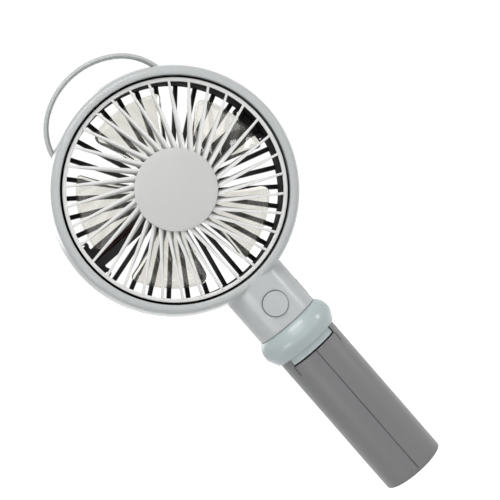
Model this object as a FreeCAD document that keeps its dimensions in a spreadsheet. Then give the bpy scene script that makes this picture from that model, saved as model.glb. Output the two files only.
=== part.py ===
import FreeCAD, Part
import math
import os
import re

import Sketcher
from FreeCAD import Placement, Rotation, Vector

# Handheld fan on a folding grip. Lengths are in millimetres and angles in degrees.
# +Z runs up the grip, the fan faces -Y, and the origin is the middle of the grip's flat end.
# Pieces of the head are drawn about the middle of the fan and lifted to head_height.

SIZES = [
    ("head_height", "seam_height + neck_length + head_radius", "fan axis above the flat end of the grip"),
    ("head_radius", 55.0, "widest radius of the head, at its parting plane"),
    ("shell_wall", 1.5, "wall of the head's two shells"),
    ("shoulder_depth", 11.5, "parting plane to the shoulder where the shells turn in"),
    ("shoulder_inset", 1.4, "how much narrower the shells are at that shoulder"),
    ("front_depth", 15.0, "parting plane to the crest of the front lip"),
    ("crest_radius", "head_radius - 3.2", "outer end of the front crest"),
    ("crest_round", 3.6, "rounding from the shoulder to the crest"),
    ("lip_radius", "head_radius - 5.5", "inner edge of the front lip"),
    ("lip_round", 0.5, "rounding of that inner edge"),
    ("skirt_length", 8.0, "depth of the skirt behind the front lip"),
    ("skirt_wall", 1.4, "wall of that skirt"),
    ("rear_depth", 17.0, "parting plane to the rear face of the head"),
    ("rear_face_radius", "head_radius - 3.7", "outer end of the rear face"),
    ("rear_round", 7.0, "rounding from the shoulder to the rear face"),
    ("duct_radius", "head_radius - 7.7", "inside of the air duct at its front edge"),
    ("duct_mouth", "head_radius - 7.1", "inside of the air duct at the rear, where it widens"),
    ("duct_wall", 1.2, "wall of the air duct"),
    ("duct_front", 11.3, "parting plane to the front edge of the duct"),
    ("duct_flange", 0.8, "flange on the duct that seats in the housing"),
    ("rear_lip_depth", 1.6, "thickness of the housing's lip behind that flange"),
    ("fit", 0.1, "gap around pieces that are put in by hand"),
    ("snug", 0.05, "gap between pieces pushed together"),
    ("groove_width", 1.0, "dark groove between the front lip and the grille ring"),
    ("ring_width", 1.7, "radial width of the grille ring"),
    ("ring_front", 13.0, "parting plane to the front of the grille ring"),
    ("ring_bevel", 0.35, "bevel on the front of the grille ring and of the disc"),
    ("ridge", 0.2, "how far each vane stands proud of the grille ring"),
    ("hub_radius", 17.6, "boss that the front vanes grow from"),
    ("hub_front", 14.9, "parting plane to the front of that boss"),
    ("hub_plate", 1.6, "thickness of its face"),
    ("hub_rim", 1.7, "wall of its rim"),
    ("hub_rim_depth", 3.5, "depth of its rim"),
    ("cap_radius", 18.0, "plain disc on the middle of the front grille"),
    ("cap_edge", 0.8, "thickness of the disc at its edge"),
    ("cap_dome", 0.9, "rise of the disc towards its middle"),
    ("vane_count", 34, "swirl vanes of the front grille"),
    ("vane_miss", 7.5, "distance by which a vane's line misses the axis"),
    ("vane_start", 8.92, "turn of the first vane's line from the horizontal"),
    ("vane_root", 14.8, "where a vane leaves the boss, along its line"),
    ("vane_tip", "head_radius - 8.55", "where it ends on the ring, along its line"),
    ("vane_set", 0.2, "how far a vane's root lies behind the face of the boss"),
    ("vane_lean", -0.2, "sideways set of a vane's rear edge at the ring"),
    ("vane_front", 1.1, "width of a vane's front edge at the ring"),
    ("vane_back", 0.9, "width of a vane's rear edge at the ring"),
    ("vane_root_gain", 0.4, "how much wider both edges are at the boss"),
    ("vane_twist", 1.5, "sideways set of a vane's rear edge at the boss"),
    ("vane_depth", 3.6, "depth of a vane from front to back"),
    ("flange_depth", 1.4, "thickness of the duct's flange"),
    ("spoke_count", 34, "curved spokes of the rear grille"),
    ("spoke_width", 1.6, "width of a spoke"),
    ("spoke_depth", 2.4, "depth of a spoke"),
    ("spoke_bow", 52.0, "radius of a spoke's curve"),
    ("spoke_crest", 33.2, "fan axis to the highest point of that curve"),
    ("spoke_start", -3.0, "turn of the first spoke from the horizontal"),
    ("spoke_set", 0.2, "how far the spokes lie in front of the duct's rear edge"),
    ("arm_width", 9.6, "width of the two wide arms"),
    ("arm_depth", 6.0, "depth of those arms"),
    ("motor_radius", 12.2, "motor can"),
    ("motor_front", 4.4, "parting plane to the front of the motor can"),
    ("motor_length", 12.3, "length of the motor can"),
    ("motor_boss_radius", 3.0, "bearing boss on the motor can"),
    ("motor_boss_length", 1.2, "length of that boss"),
    ("motor_cap_radius", 9.4, "plastic end cap of the motor"),
    ("motor_cap_length", 1.5, "length of that end cap"),
    ("terminal_length", 3.2, "motor terminals behind the end cap"),
    ("terminal_offset", 5.0, "motor terminals to either side of the middle"),
    ("terminal_width", 2.4, "width of a terminal"),
    ("terminal_thickness", 0.8, "thickness of a terminal"),
    ("shaft_radius", 1.0, "motor shaft"),
    ("shaft_reach", 8.9, "parting plane to the front end of the shaft"),
    ("shaft_play", 0.03, "radial play of turning shafts and pins"),
    ("cup_wall", 1.5, "wall of the motor cup"),
    ("cup_reach", 5.9, "length of the motor can that the cup holds"),
    ("cup_back", 16.8, "parting plane to the back of the motor cup"),
    ("cup_floor", 1.2, "thickness of the cup's inner flange"),
    ("rotor_hub_radius", 15.3, "hub of the impeller"),
    ("rotor_hub_wall", 1.1, "wall of that hub"),
    ("rotor_front", 9.6, "parting plane to the front of that hub"),
    ("rotor_back", 3.0, "parting plane to the rear edge of that hub"),
    ("rotor_boss_radius", 3.2, "boss around the shaft"),
    ("rotor_boss_length", 3.5, "length of that boss"),
    ("blade_count", 5, "impeller blades"),
    ("blade_start", 11.2, "turn of the first blade from the horizontal, as in the photo"),
    ("blade_radius", "head_radius - 12.3", "radius of the blade tips"),
    ("blade_half_span", 22.0, "half the angle that a blade covers"),
    ("blade_corner", 6.0, "rounding of a blade's outer corners"),
    ("blade_thickness", 1.2, "thickness of a blade"),
    ("blade_trim", 5.0, "margin that the blades are cut back from on each side"),
    ("blade_rise", 4.6, "axial half height of a blade"),
    ("blade_middle", 2.4, "middle of the blades, in front of the parting plane"),
    ("blade_belly", 1.8, "hollow of a blade across its width"),
    ("loop_top", "1.24 * head_radius", "top of the hanging loop above the fan axis"),
    ("loop_crown", "0.658 * head_radius", "outer radius of the loop's crown"),
    ("loop_side", "0.4745 * head_radius", "outer radius of the loop's sides"),
    ("loop_crown_angle", 33.0, "where the crown passes into the sides"),
    ("loop_end_angle", 88.0, "where the loop ends inside the rim"),
    ("loop_foot_angle", 85.0, "where its foot begins"),
    ("notch_angle", 60.0, "where the notch for the loop has left the rim"),
    ("loop_thickness", 2.8, "thickness of the loop seen from the front"),
    ("loop_depth", 5.0, "depth of the loop"),
    ("loop_foot_depth", 7.0, "depth of the feet that hold the loop in the rim"),
    ("loop_round", 0.8, "rounding of the loop's edges"),
    ("neck_length", 21.0, "length of the neck below the head"),
    ("neck_radius", 15.2, "outside of the neck"),
    ("neck_wall", 1.7, "wall of the neck"),
    ("neck_rim", 1.0, "inner rim that holds the collar"),
    ("neck_rim_height", 1.6, "height of that rim"),
    ("neck_top", "head_radius - 3.8", "fan axis to the top of the neck's wall in front"),
    ("neck_rear_top", "head_radius - 3.6", "fan axis to the top of the neck's wall behind, inside the housing"),
    ("seam_height", "pivot_height + 22.5", "seam between neck and collar"),
    ("seam_gap", 0.2, "open seam between neck and collar"),
    ("board_back", "neck_radius - 10.6", "parting plane to the back of the control board"),
    ("board_thickness", 1.2, "control board"),
    ("board_half_width", "neck_radius - 4.2", "half the width of the control board"),
    ("board_low", "seam_height + 4.2", "lower edge of the control board"),
    ("board_high", "board_low + 10.8", "upper edge of the control board"),
    ("button_height", "board_low + 6.8", "middle of the power button"),
    ("button_radius", 5.5, "power button"),
    ("button_proud", 0.7, "how far the button stands proud of the neck"),
    ("button_play", 0.2, "gap around the button"),
    ("guide_front", "neck_radius - 3.8", "parting plane to the ring that stops the button's flange"),
    ("guide_wall", 1.5, "wall of that ring"),
    ("flange_radius", 6.6, "flange that keeps the button in"),
    ("flange_thickness", 0.8, "thickness of that flange"),
    ("button_travel", 0.5, "travel of the button"),
    ("switch_side", 6.0, "tactile switch"),
    ("switch_depth", 3.5, "depth of the switch body"),
    ("plunger_radius", 1.7, "plunger of the switch"),
    ("plunger_seat", 1.0, "depth of the well that the plunger moves in"),
    ("plunger_reach", 1.2, "plunger in front of the switch body"),
    ("socket_height", "board_low + 3.8", "middle of the charging socket"),
    ("socket_width", 7.5, "charging socket, along the neck"),
    ("socket_thickness", 2.8, "charging socket, across the board"),
    ("socket_reach", "neck_radius - 1.9", "fan axis to the mouth of the socket"),
    ("socket_length", 5.6, "length of the socket"),
    ("socket_wall", 0.4, "sheet of the socket's shell"),
    ("socket_play", 0.25, "gap around the socket in the neck's wall"),
    ("board_screw_offset", 8.4, "board screws to either side of the neck's middle"),
    ("board_screw_height", "board_high - 1.8", "board screws above the grip's end"),
    ("board_screw_radius", 0.7, "board screws"),
    ("board_screw_length", 4.2, "length of the board screws"),
    ("board_head_radius", 1.25, "heads of the board screws"),
    ("board_head_depth", 0.9, "depth of those heads"),
    ("board_boss_radius", 1.7, "bosses of the board screws"),
    ("board_boss_end", "neck_radius - 4.8", "parting plane to where those bosses meet the wall"),
    ("case_screw_offset", 7.6, "case screws to either side of the neck's middle"),
    ("case_screw_height", "board_high + 2.6", "case screws above the grip's end"),
    ("case_screw_radius", 1.0, "case screws"),
    ("case_head_radius", 1.9, "heads of the case screws"),
    ("case_head_depth", 1.3, "depth of those heads"),
    ("case_head_seat", 9.0, "parting plane to the seat of those heads"),
    ("case_boss_radius", 2.3, "bosses of the case screws in the bezel"),
    ("case_boss_end", "neck_radius - 4", "parting plane to where those bosses meet the wall"),
    ("case_rear_radius", 3.0, "bosses of the case screws in the housing"),
    ("case_rear_end", "neck_radius - 4.8", "parting plane to where those bosses meet the wall"),
    ("case_screw_end", 9.2, "parting plane to the tips of the case screws"),
    ("lead_radius", 0.8, "pair of leads"),
    ("lead_steps", 10, "straight runs in the lead's way round the head"),
    ("lead_hole", 2.0, "holes that the leads pass through"),
    ("lead_hole_set", 1.0, "how far those holes are set towards the inside of the leads' bends"),
    ("collar_radius", 18.3, "widest radius of the collar"),
    ("collar_waist", "pivot_height + 16", "height where the collar's flare ends"),
    ("collar_edge", "collar_waist - 1.8", "height of the collar's lower edge"),
    ("collar_edge_inset", 0.4, "how far that edge is drawn in"),
    ("collar_edge_round", 5.0, "rounding above that edge"),
    ("collar_base", "collar_edge - 3.9", "underside of the collar"),
    ("collar_base_radius", 16.0, "radius of the underside"),
    ("collar_floor", "collar_base + 3.4", "floor inside the collar"),
    ("collar_bore", 11.2, "inside of the collar"),
    ("spigot_top", "seam_height + 3.6", "top of the spigot"),
    ("grip_radius", 14.9, "outside of the grip"),
    ("grip_wall", 1.8, "wall of the grip's half shells"),
    ("ear_top", "collar_base - 0.3", "top of the ears beside the tongue"),
    ("slot_half", 11.5, "half the slot between the ears"),
    ("front_wall_top", "pivot_height + 6.4", "upper edge of the grip's front wall"),
    ("front_gap", 0.8, "dark gap above that edge"),
    ("crease_length", 4.5, "crease below the corners of the slot"),
    ("crease_width", 0.35, "width of that crease"),
    ("crease_depth", 0.9, "depth of that crease"),
    ("bulkhead_top", "pivot_height - 8.4", "floor of the hinge slot"),
    ("bulkhead", 1.2, "thickness of that floor"),
    ("pivot_back", 5.0, "hinge pin behind the grip's middle"),
    ("pivot_height", 63.5, "hinge pin above the grip's end"),
    ("knuckle_radius", 8.0, "rounded end of the tongue"),
    ("tongue_half", 10.9, "half the width of the tongue"),
    ("tongue_inset", 0.15, "how far the tongue lies below the grip's surface"),
    ("pin_radius", 1.5, "hinge pin"),
    ("pin_half_length", 12.9, "half the length of the hinge pin"),
    ("tongue_step", 7.0, "where the tongue's thick front part ends, in front of the middle"),
    ("passage_front", 8.0, "passage for the leads in front of the middle"),
    ("passage_radius", 2.5, "passage for the leads through the collar"),
    ("washer_radius", 4.5, "friction washers"),
    ("washer_play", 0.05, "gap beside a friction washer"),
    ("seam_vee", 0.45, "depth of the groove where the half shells meet"),
    ("cell_radius", 9.15, "battery cell"),
    ("cell_length", "bulkhead_top - bulkhead - cell_nub - 0.9 - cell_base", "length of the battery cell"),
    ("cell_base", 3.2, "lower end of the battery cell"),
    ("cell_play", 0.1, "gap between the cell and its ribs"),
    ("cell_nub_radius", 3.0, "raised contact of the cell"),
    ("cell_nub", 0.8, "height of that contact"),
    ("rib_thickness", 1.4, "ribs that hold the cell"),
    ("rib_first", 10.0, "height of the lowest rib"),
    ("rib_step", "(bulkhead_top - 19.1) / (rib_count - 1)", "distance between the ribs"),
    ("rib_count", 3, "ribs in each half shell"),
    ("tab_thickness", 0.25, "nickel tabs on the cell"),
    ("tab_width", 6.0, "width of those tabs"),
    ("pad_radius", 8.0, "foam pad under the cell"),
    ("end_thickness", 1.6, "disc of the end cap"),
    ("end_bevel", 0.5, "bevel around the end cap"),
    ("end_plug_wall", 1.4, "wall of the end cap's plug"),
    ("end_plug_top", 4.0, "upper edge of that plug"),
    ("grip_screw_back", 11.3, "grip screws behind the grip's middle"),
    ("grip_screw_first", 15.0, "height of the lowest grip screw"),
    ("grip_screw_step", "(bulkhead_top - 19.1) / (grip_screw_count - 1)", "distance between the grip screws"),
    ("grip_screw_count", 3, "grip screws"),
    ("grip_screw_radius", 0.85, "grip screws"),
    ("grip_head_radius", 1.6, "heads of the grip screws"),
    ("grip_head_depth", 1.2, "depth of those heads"),
    ("grip_head_seat", 6.0, "parting plane of the grip to the seat of those heads"),
    ("grip_boss_radius", 2.0, "bosses of the grip screws"),
    ("grip_boss_length", 6.5, "length of those bosses in the left shell"),
    ("grip_seat_boss_length", 9.0, "length of those bosses in the right shell"),
    ("grip_screw_tip", 5.4, "length of the screws in the far shell"),
    ("grip_lead_radius", 0.6, "leads of the battery cell"),
    ("grip_lead_front", 10.5, "those leads in front of the grip's middle"),
    ("grip_lead_offset", 1.0, "those leads to either side of the middle"),
    ("grip_lead_top", "pivot_height + 2.5", "upper ends of those leads"),
    ("lead_channel", 1.9, "half the width of the notches for those leads"),
    ("lead_notch", 12.0, "front of those notches, in front of the grip's middle"),
]

doc = FreeCAD.newDocument("handheld_fan")
sheet = doc.addObject("Spreadsheet::Sheet", "Sizes")
for row, (alias, size, meaning) in enumerate(SIZES, start=1):
    sheet.set("A%d" % row, meaning)
    sheet.setAlias("B%d" % row, alias)
for row, (alias, size, meaning) in enumerate(SIZES, start=1):
    sheet.set("B%d" % row, "=%s" % size)
doc.recompute()
NAMES = {alias for alias, size, meaning in SIZES}
PIECES = []


def bind(text):
    """Expression text with every size name pointed at the sheet."""
    def point(word):
        return "Sizes." + word.group(0) if word.group(0) in NAMES else word.group(0)
    return re.sub(r"[a-z][a-z_]*", point, str(text))


def number(text):
    """Value of an expression over the sheet's sizes."""
    return float(sheet.evalExpression(bind(text)))


def new_body(label, lifted=False):
    """Empty body; a lifted one is drawn about the middle of the fan."""
    body = doc.addObject("PartDesign::Body", label)
    body.Label = label
    if lifted:
        body.setExpression(".Placement.Base.z", bind("head_height"))
    PIECES.append(body)
    return body


def new_sketch(body, role, away="0"):
    """Sketch on one of the body's own origin planes, moved along its normal."""
    sketch = body.newObject("Sketcher::SketchObject", body.Label + "_outline")
    plane = next(item for item in body.Origin.OriginFeatures if item.Role == role)
    sketch.AttachmentSupport = (plane, [""])
    sketch.MapMode = "FlatFace"
    sketch.setExpression(".AttachmentOffset.Base.z", bind(away))
    return sketch


def hold(sketch, kind, axis_line, edge, end, text):
    """Tie one coordinate of a point to an expression."""
    if str(text) == "0":
        sketch.addConstraint(Sketcher.Constraint("PointOnObject", edge, end, axis_line))
        return
    index = sketch.addConstraint(Sketcher.Constraint(kind, -1, 1, edge, end, number(text)))
    sketch.setExpression("Constraints[%d]" % index, bind(text))


def add_outline(sketch, corners):
    """Closed outline through corners (x, y) or (x, y, radius), the radius being that of the arc
    that arrives there: above 0 it turns left on its way, below 0 it turns right. A half circle
    is held by its middle, because its radius alone would leave the middle loose."""
    spots = [Vector(number(corner[0]), number(corner[1]), 0) for corner in corners]
    first = sketch.GeometryCount
    ends = []
    for here in range(len(corners)):
        there = (here + 1) % len(corners)
        start, stop = spots[here], spots[there]
        if len(corners[there]) == 2:
            sketch.addGeometry(Part.LineSegment(start, stop))
            ends.append((1, 2))
            continue
        radius = number(corners[there][2])
        chord = stop - start
        half = chord.Length / 2
        left = Vector(-chord.y, chord.x, 0).normalize()
        rise = math.sqrt(max(radius * radius - half * half, 0.0))
        centre = (start + stop) / 2 + left * math.copysign(rise, radius)
        circle = Part.Circle(centre, Vector(0, 0, 1), abs(radius))
        begin, finish = (start, stop) if radius > 0 else (stop, start)
        turns = [math.atan2(spot.y - centre.y, spot.x - centre.x) for spot in (begin, finish)]
        sketch.addGeometry(Part.ArcOfCircle(circle, turns[0], turns[1]))
        ends.append((1, 2) if radius > 0 else (2, 1))
    count = len(corners)
    for here in range(count):
        there = (here + 1) % count
        join = (first + here, ends[here][1], first + there, ends[there][0])
        sketch.addConstraint(Sketcher.Constraint("Coincident", *join))
    for here, corner in enumerate(corners):
        hold(sketch, "DistanceX", -2, first + here, ends[here][0], corner[0])
        hold(sketch, "DistanceY", -1, first + here, ends[here][0], corner[1])
        before = (here - 1) % count
        if len(corner) == 2:
            continue
        radius, chord = abs(number(corner[2])), spots[here] - spots[before]
        if abs(chord.Length / 2 - radius) > 1e-6:
            index = sketch.addConstraint(Sketcher.Constraint("Radius", first + before, radius))
            sketch.setExpression("Constraints[%d]" % index, bind("abs(%s)" % corner[2]))
        elif abs(chord.y) < abs(chord.x):
            hold(sketch, "DistanceY", -1, first + before, 3, corner[1])
        else:
            hold(sketch, "DistanceX", -2, first + before, 3, corner[0])
    return sketch


def add_circle(sketch, across, along, radius):
    """Circle whose middle and radius follow the sheet."""
    middle = Vector(number(across), number(along), 0)
    edge = sketch.addGeometry(Part.Circle(middle, Vector(0, 0, 1), number(radius)))
    hold(sketch, "DistanceX", -2, edge, 3, across)
    hold(sketch, "DistanceY", -1, edge, 3, along)
    index = sketch.addConstraint(Sketcher.Constraint("Radius", edge, number(radius)))
    sketch.setExpression("Constraints[%d]" % index, bind(radius))
    return sketch


def box_corners(left, low, right, high):
    """Corners of an upright rectangle."""
    return [(left, low), (right, low), (right, high), (left, high)]


def volume_of(body):
    doc.recompute()
    return body.Shape.Volume if body.Tip else 0.0


def shape_feature(body, kind, sketch, changes, settings, adds):
    """Add one feature and make sure that it added or took away material."""
    before = volume_of(body)
    feature = body.newObject("PartDesign::" + kind, body.Label + "_" + kind.lower())
    feature.Profile = sketch
    for name, value in settings.items():
        setattr(feature, name, value)
    for name, text in changes.items():
        feature.setExpression(name, bind(text))
    after = volume_of(body)
    if (after - before) * (1 if adds else -1) < 1e-3:
        raise RuntimeError("%s changed nothing on %s" % (kind, body.Label))
    return feature


def pad(body, sketch, length, back=False, both=False):
    settings = {"Reversed": back, "SideType": "Symmetric" if both else "One side"}
    return shape_feature(body, "Pad", sketch, {"Length": length}, settings, True)


def pocket(body, sketch, length, back=False, both=False):
    """Pocket along the sketch's normal, or against it where back is set."""
    settings = {"Reversed": not back, "SideType": "Symmetric" if both else "One side"}
    return shape_feature(body, "Pocket", sketch, {"Length": length}, settings, False)


def spin(body, sketch, turn="360", back=False, axis="V_Axis"):
    settings = {"ReferenceAxis": (sketch, [axis]), "Reversed": back}
    return shape_feature(body, "Revolution", sketch, {"Angle": turn}, settings, True)


def groove(body, sketch, turn="360", back=False, axis="V_Axis"):
    settings = {"ReferenceAxis": (sketch, [axis]), "Reversed": back}
    return shape_feature(body, "Groove", sketch, {"Angle": turn}, settings, False)


def ring_of(body, features, role, count, turn=360):
    """Repeat features around one of the body's axes."""
    pattern = body.newObject("PartDesign::PolarPattern", body.Label + "_ring")
    pattern.Originals = features
    axis = next(item for item in body.Origin.OriginFeatures if item.Role == role)
    pattern.Axis = (axis, [""])
    pattern.Angle = turn
    pattern.setExpression("Occurrences", bind(count))
    body.Tip = pattern
    doc.recompute()
    return pattern


def row_of(body, features, role, count, length):
    """Repeat features along one of the body's axes."""
    pattern = body.newObject("PartDesign::LinearPattern", body.Label + "_row")
    pattern.Originals = features
    axis = next(item for item in body.Origin.OriginFeatures if item.Role == role)
    pattern.Direction = (axis, [""])
    pattern.setExpression("Length", bind(length))
    pattern.setExpression("Occurrences", bind(count))
    body.Tip = pattern
    doc.recompute()
    return pattern


def round_edges(body, radius, wanted):
    """Fillet the edges of the body's last feature that wanted() accepts."""
    doc.recompute()
    base = body.Tip
    names = ["Edge%d" % (place + 1) for place, edge in enumerate(base.Shape.Edges) if wanted(edge)]
    fillet = body.newObject("PartDesign::Fillet", body.Label + "_fillet")
    fillet.Base = (base, names)
    fillet.setExpression("Radius", bind(radius))
    body.Tip = fillet
    doc.recompute()
    return fillet


def turned(body, role, corners, turn="360", back=False):
    """Turned solid. XY_Plane corners are (radius, depth), XZ_Plane corners (radius, height)."""
    return spin(body, add_outline(new_sketch(body, role), corners), turn, back)


def half_ring(outer, inner, side):
    """Half ring on the XY plane: the front half for side -1, the rear half for side 1."""
    there, back = ("", "-") if side > 0 else ("-", "")
    return [
        (outer, "0"),
        ("-" + outer, "0", there + outer),
        ("-" + inner, "0"),
        (inner, "0", back + inner),
    ]


def rod(label, radius, length, place, axis):
    """Round bar of a named group that starts at place and runs along axis."""
    bar = doc.addObject("Part::Cylinder", label)
    bar.setExpression("Radius", bind(radius))
    bar.setExpression("Height", bind(length))
    bar.Placement = Placement(Vector(), Rotation(Vector(0, 0, 1), Vector(*axis)))
    for letter, text in zip("xyz", place):
        bar.setExpression(".Placement.Base." + letter, bind(text))
    return bar


def block(label, low, size):
    """Box of a named group, from its low corner."""
    box = doc.addObject("Part::Box", label)
    for name, text in zip(("Length", "Width", "Height"), size):
        box.setExpression(name, bind(text))
    for letter, text in zip("xyz", low):
        box.setExpression(".Placement.Base." + letter, bind(text))
    return box


def fused(label, shapes):
    joined = doc.addObject("Part::MultiFuse", label)
    joined.Shapes = shapes
    return joined


def group(label, solids):
    """Several alike solids that share one node."""
    together = doc.addObject("Part::Compound", label)
    together.Links = solids
    PIECES.append(together)
    return together


def lead(label, points, radius):
    """Tube of straight runs joined by tangent arcs, each as large as its two runs allow."""
    spots = [Vector(*[number(text) for text in point]) for point in points]
    edges = []
    start = spots[0]
    for before, here, after in zip(spots, spots[1:], spots[2:]):
        arriving, leaving = here - before, after - here
        half_turn = arriving.getAngle(leaving) / 2
        reach = 0.45 * min(arriving.Length, leaving.Length)
        entry = here - Vector(arriving).normalize() * reach
        leave = here + Vector(leaving).normalize() * reach
        bend = reach / math.tan(half_turn)
        inward = (Vector(leaving).normalize() - Vector(arriving).normalize()).normalize()
        middle = here + inward * (bend / math.cos(half_turn) - bend)
        edges.append(Part.LineSegment(start, entry).toShape())
        edges.append(Part.Arc(entry, middle, leave).toShape())
        start = leave
    edges.append(Part.LineSegment(start, spots[-1]).toShape())
    path = Part.Wire(edges)
    profile = Part.Wire(Part.Circle(spots[0], spots[1] - spots[0], number(radius)).toShape())
    tube = path.makePipeShell([profile], True, False)
    expected = math.pi * number(radius) ** 2 * path.Length
    print("%s: length %.1f, volume %.4f of section times length" % (label, path.Length, tube.Volume / expected))
    return tube


def loop_point(offset, angle, side):
    """Point on the loop's side curve, offset outwards from its outer edge."""
    reach = "(loop_side + (%s))" % offset
    centre_x = "(loop_crown - loop_side) * sin(loop_crown_angle)"
    centre_z = "(loop_top - loop_crown + (loop_crown - loop_side) * cos(loop_crown_angle))"
    across = "(%s + %s * sin(%s))" % (centre_x, reach, angle)
    return ("%s%s" % ("-" if side < 0 else "", across), "%s + %s * cos(%s)" % (centre_z, reach, angle))


def loop_sector(side, low_angle, high_angle, play):
    """Stretch of the loop's side between two angles, grown by play on both sides."""
    outer, inner = "(loop_side + (%s))" % play, "(loop_side - loop_thickness - (%s))" % play
    grown, shrunk = play, "-loop_thickness - (%s)" % play
    sign = "" if side > 0 else "-"
    back = "-" if side > 0 else ""
    return [
        loop_point(grown, low_angle, side),
        loop_point(grown, high_angle, side) + (sign + outer,),
        loop_point(shrunk, high_angle, side),
        loop_point(shrunk, low_angle, side) + (back + inner,),
    ]


HEAD_CURVE = "((shoulder_depth ^ 2 + shoulder_inset ^ 2) / (2 * shoulder_inset))"
HEAD_INSIDE = "(%s - shell_wall)" % HEAD_CURVE
SKIRT_OUTSIDE = "(lip_radius + skirt_wall)"
CREST_INSIDE = "(head_radius - %s + sqrt(%s ^ 2 - (front_depth - shell_wall) ^ 2))" % (HEAD_CURVE, HEAD_INSIDE)
NECK_BORE = "(neck_radius - neck_wall)"
NECK_LOW = "(seam_height + seam_gap - head_height)"
GRIP_BORE = "(grip_radius - grip_wall)"
NOTCH_HIGH, NOTCH_LOW = "notch_angle", "(loop_end_angle + 1)"
ARM_FRONT = "(rear_depth - spoke_set - arm_depth)"
LEAD_DEPTH = "(%s + lead_radius + fit)" % ARM_FRONT


def add_neck_half(body, side):
    """Half of the neck on one of the head's shells, with the rim that holds the collar."""
    wall = add_outline(new_sketch(body, "XY_Plane", NECK_LOW), half_ring("neck_radius", NECK_BORE, side))
    top = "neck_rear_top" if side > 0 else "neck_top"
    pad(body, wall, "-%s - %s" % (top, NECK_LOW))
    rim_bore, rim_root = "(%s - neck_rim)" % NECK_BORE, "(neck_radius - neck_wall / 2)"
    rim = add_outline(new_sketch(body, "XY_Plane", NECK_LOW), half_ring(rim_root, rim_bore, side))
    pad(body, rim, "neck_rim_height")


def add_loop_notches(body, side, back):
    """Notches in the seam that the loop passes through."""
    for hand in (1, -1):
        sketch = new_sketch(body, "XZ_Plane")
        add_outline(sketch, loop_sector(hand, NOTCH_LOW, NOTCH_HIGH, "snug"))
        pocket(body, sketch, "loop_depth / 2 + snug", back=back)


def make_front_bezel():
    body = new_body("front_bezel", lifted=True)
    turned(body, "XY_Plane", [
        ("head_radius", "0"),
        ("head_radius - shoulder_inset", "-shoulder_depth", "-" + HEAD_CURVE),
        ("crest_radius", "-front_depth", "-crest_round"),
        ("lip_radius + lip_round", "-front_depth"),
        ("lip_radius", "lip_round - front_depth", "-lip_round"),
        ("lip_radius", "skirt_length - front_depth"),
        (SKIRT_OUTSIDE, "skirt_length - front_depth"),
        (SKIRT_OUTSIDE, "shell_wall - front_depth"),
        (CREST_INSIDE, "shell_wall - front_depth"),
        ("head_radius - shell_wall", "0", HEAD_INSIDE),
    ])
    add_neck_half(body, -1)
    for hand in ("", "-"):
        screw = new_sketch(body, "XZ_Plane")
        add_circle(screw, hand + "case_screw_offset", "case_screw_height - head_height", "case_boss_radius")
        pad(body, screw, "case_boss_end")
        stand = new_sketch(body, "XZ_Plane", "board_back + board_thickness")
        add_circle(stand, hand + "board_screw_offset", "board_screw_height - head_height", "board_boss_radius")
        pad(body, stand, "board_boss_end - board_back - board_thickness")
    guide = new_sketch(body, "XZ_Plane", "guide_front")
    guide_radius = "(button_radius + button_play + guide_wall)"
    add_circle(guide, "0", "button_height - head_height", guide_radius)
    pad(body, guide, "neck_radius - neck_wall / 2 - guide_front")
    middle = "button_height - head_height"
    around = new_sketch(body, "XZ_Plane")
    groove(body, add_outline(around, box_corners(
        "neck_radius", "%s - %s - fit" % (middle, guide_radius),
        "neck_radius + 2 * guide_wall", "%s + %s + fit" % (middle, guide_radius))))
    button = new_sketch(body, "XZ_Plane", "board_back + board_thickness")
    add_circle(button, "0", "button_height - head_height", "button_radius + button_play")
    pocket(body, button, "neck_radius")
    for hand in ("", "-"):
        screw = new_sketch(body, "XZ_Plane")
        add_circle(screw, hand + "case_screw_offset", "case_screw_height - head_height", "case_screw_radius + snug")
        pocket(body, screw, "case_screw_end + snug")
        stand = new_sketch(body, "XZ_Plane", "board_back + board_thickness")
        add_circle(stand, hand + "board_screw_offset", "board_screw_height - head_height", "board_screw_radius + snug")
        pocket(body, stand, "board_screw_length - board_thickness + snug")
    mouth = new_sketch(body, "YZ_Plane", "board_half_width")
    add_outline(mouth, box_corners(
        "-board_back - socket_play", "socket_height - head_height - socket_width / 2 - socket_play",
        "socket_thickness - board_back + socket_play",
        "socket_height - head_height + socket_width / 2 + socket_play"))
    pocket(body, mouth, "neck_radius - board_half_width + 1")
    add_loop_notches(body, -1, False)


def make_rear_housing():
    body = new_body("rear_housing", lifted=True)
    lip_face = "rear_depth - rear_lip_depth"
    opening = "duct_mouth + duct_wall + fit"
    turned(body, "XY_Plane", [
        ("head_radius", "0"),
        ("head_radius - shoulder_inset", "shoulder_depth", HEAD_CURVE),
        ("rear_face_radius", "rear_depth", "rear_round"),
        (opening, "rear_depth"),
        (opening, lip_face),
        ("rear_face_radius", lip_face),
        ("head_radius - shoulder_inset - shell_wall", "shoulder_depth", "-(rear_round - shell_wall)"),
        ("head_radius - shell_wall", "0", "-" + HEAD_INSIDE),
    ])
    add_neck_half(body, 1)
    for hand in ("", "-"):
        screw = new_sketch(body, "XZ_Plane")
        add_circle(screw, hand + "case_screw_offset", "case_screw_height - head_height", "case_rear_radius")
        pad(body, screw, "case_rear_end", back=True)
    for hand in ("", "-"):
        screw = new_sketch(body, "XZ_Plane")
        add_circle(screw, hand + "case_screw_offset", "case_screw_height - head_height", "case_screw_radius + snug")
        pocket(body, screw, "case_head_seat", back=True)
        head = new_sketch(body, "XZ_Plane", "-case_head_seat")
        add_circle(head, hand + "case_screw_offset", "case_screw_height - head_height", "case_head_radius + fit")
        pocket(body, head, "neck_radius - case_head_seat", back=True)
    drop = new_sketch(body, "XY_Plane", "-head_radius - 1")
    add_circle(drop, "-lead_hole_set", LEAD_DEPTH, "lead_hole")
    pocket(body, drop, "head_radius + 1 - duct_mouth - duct_wall")
    add_loop_notches(body, 1, True)


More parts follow.
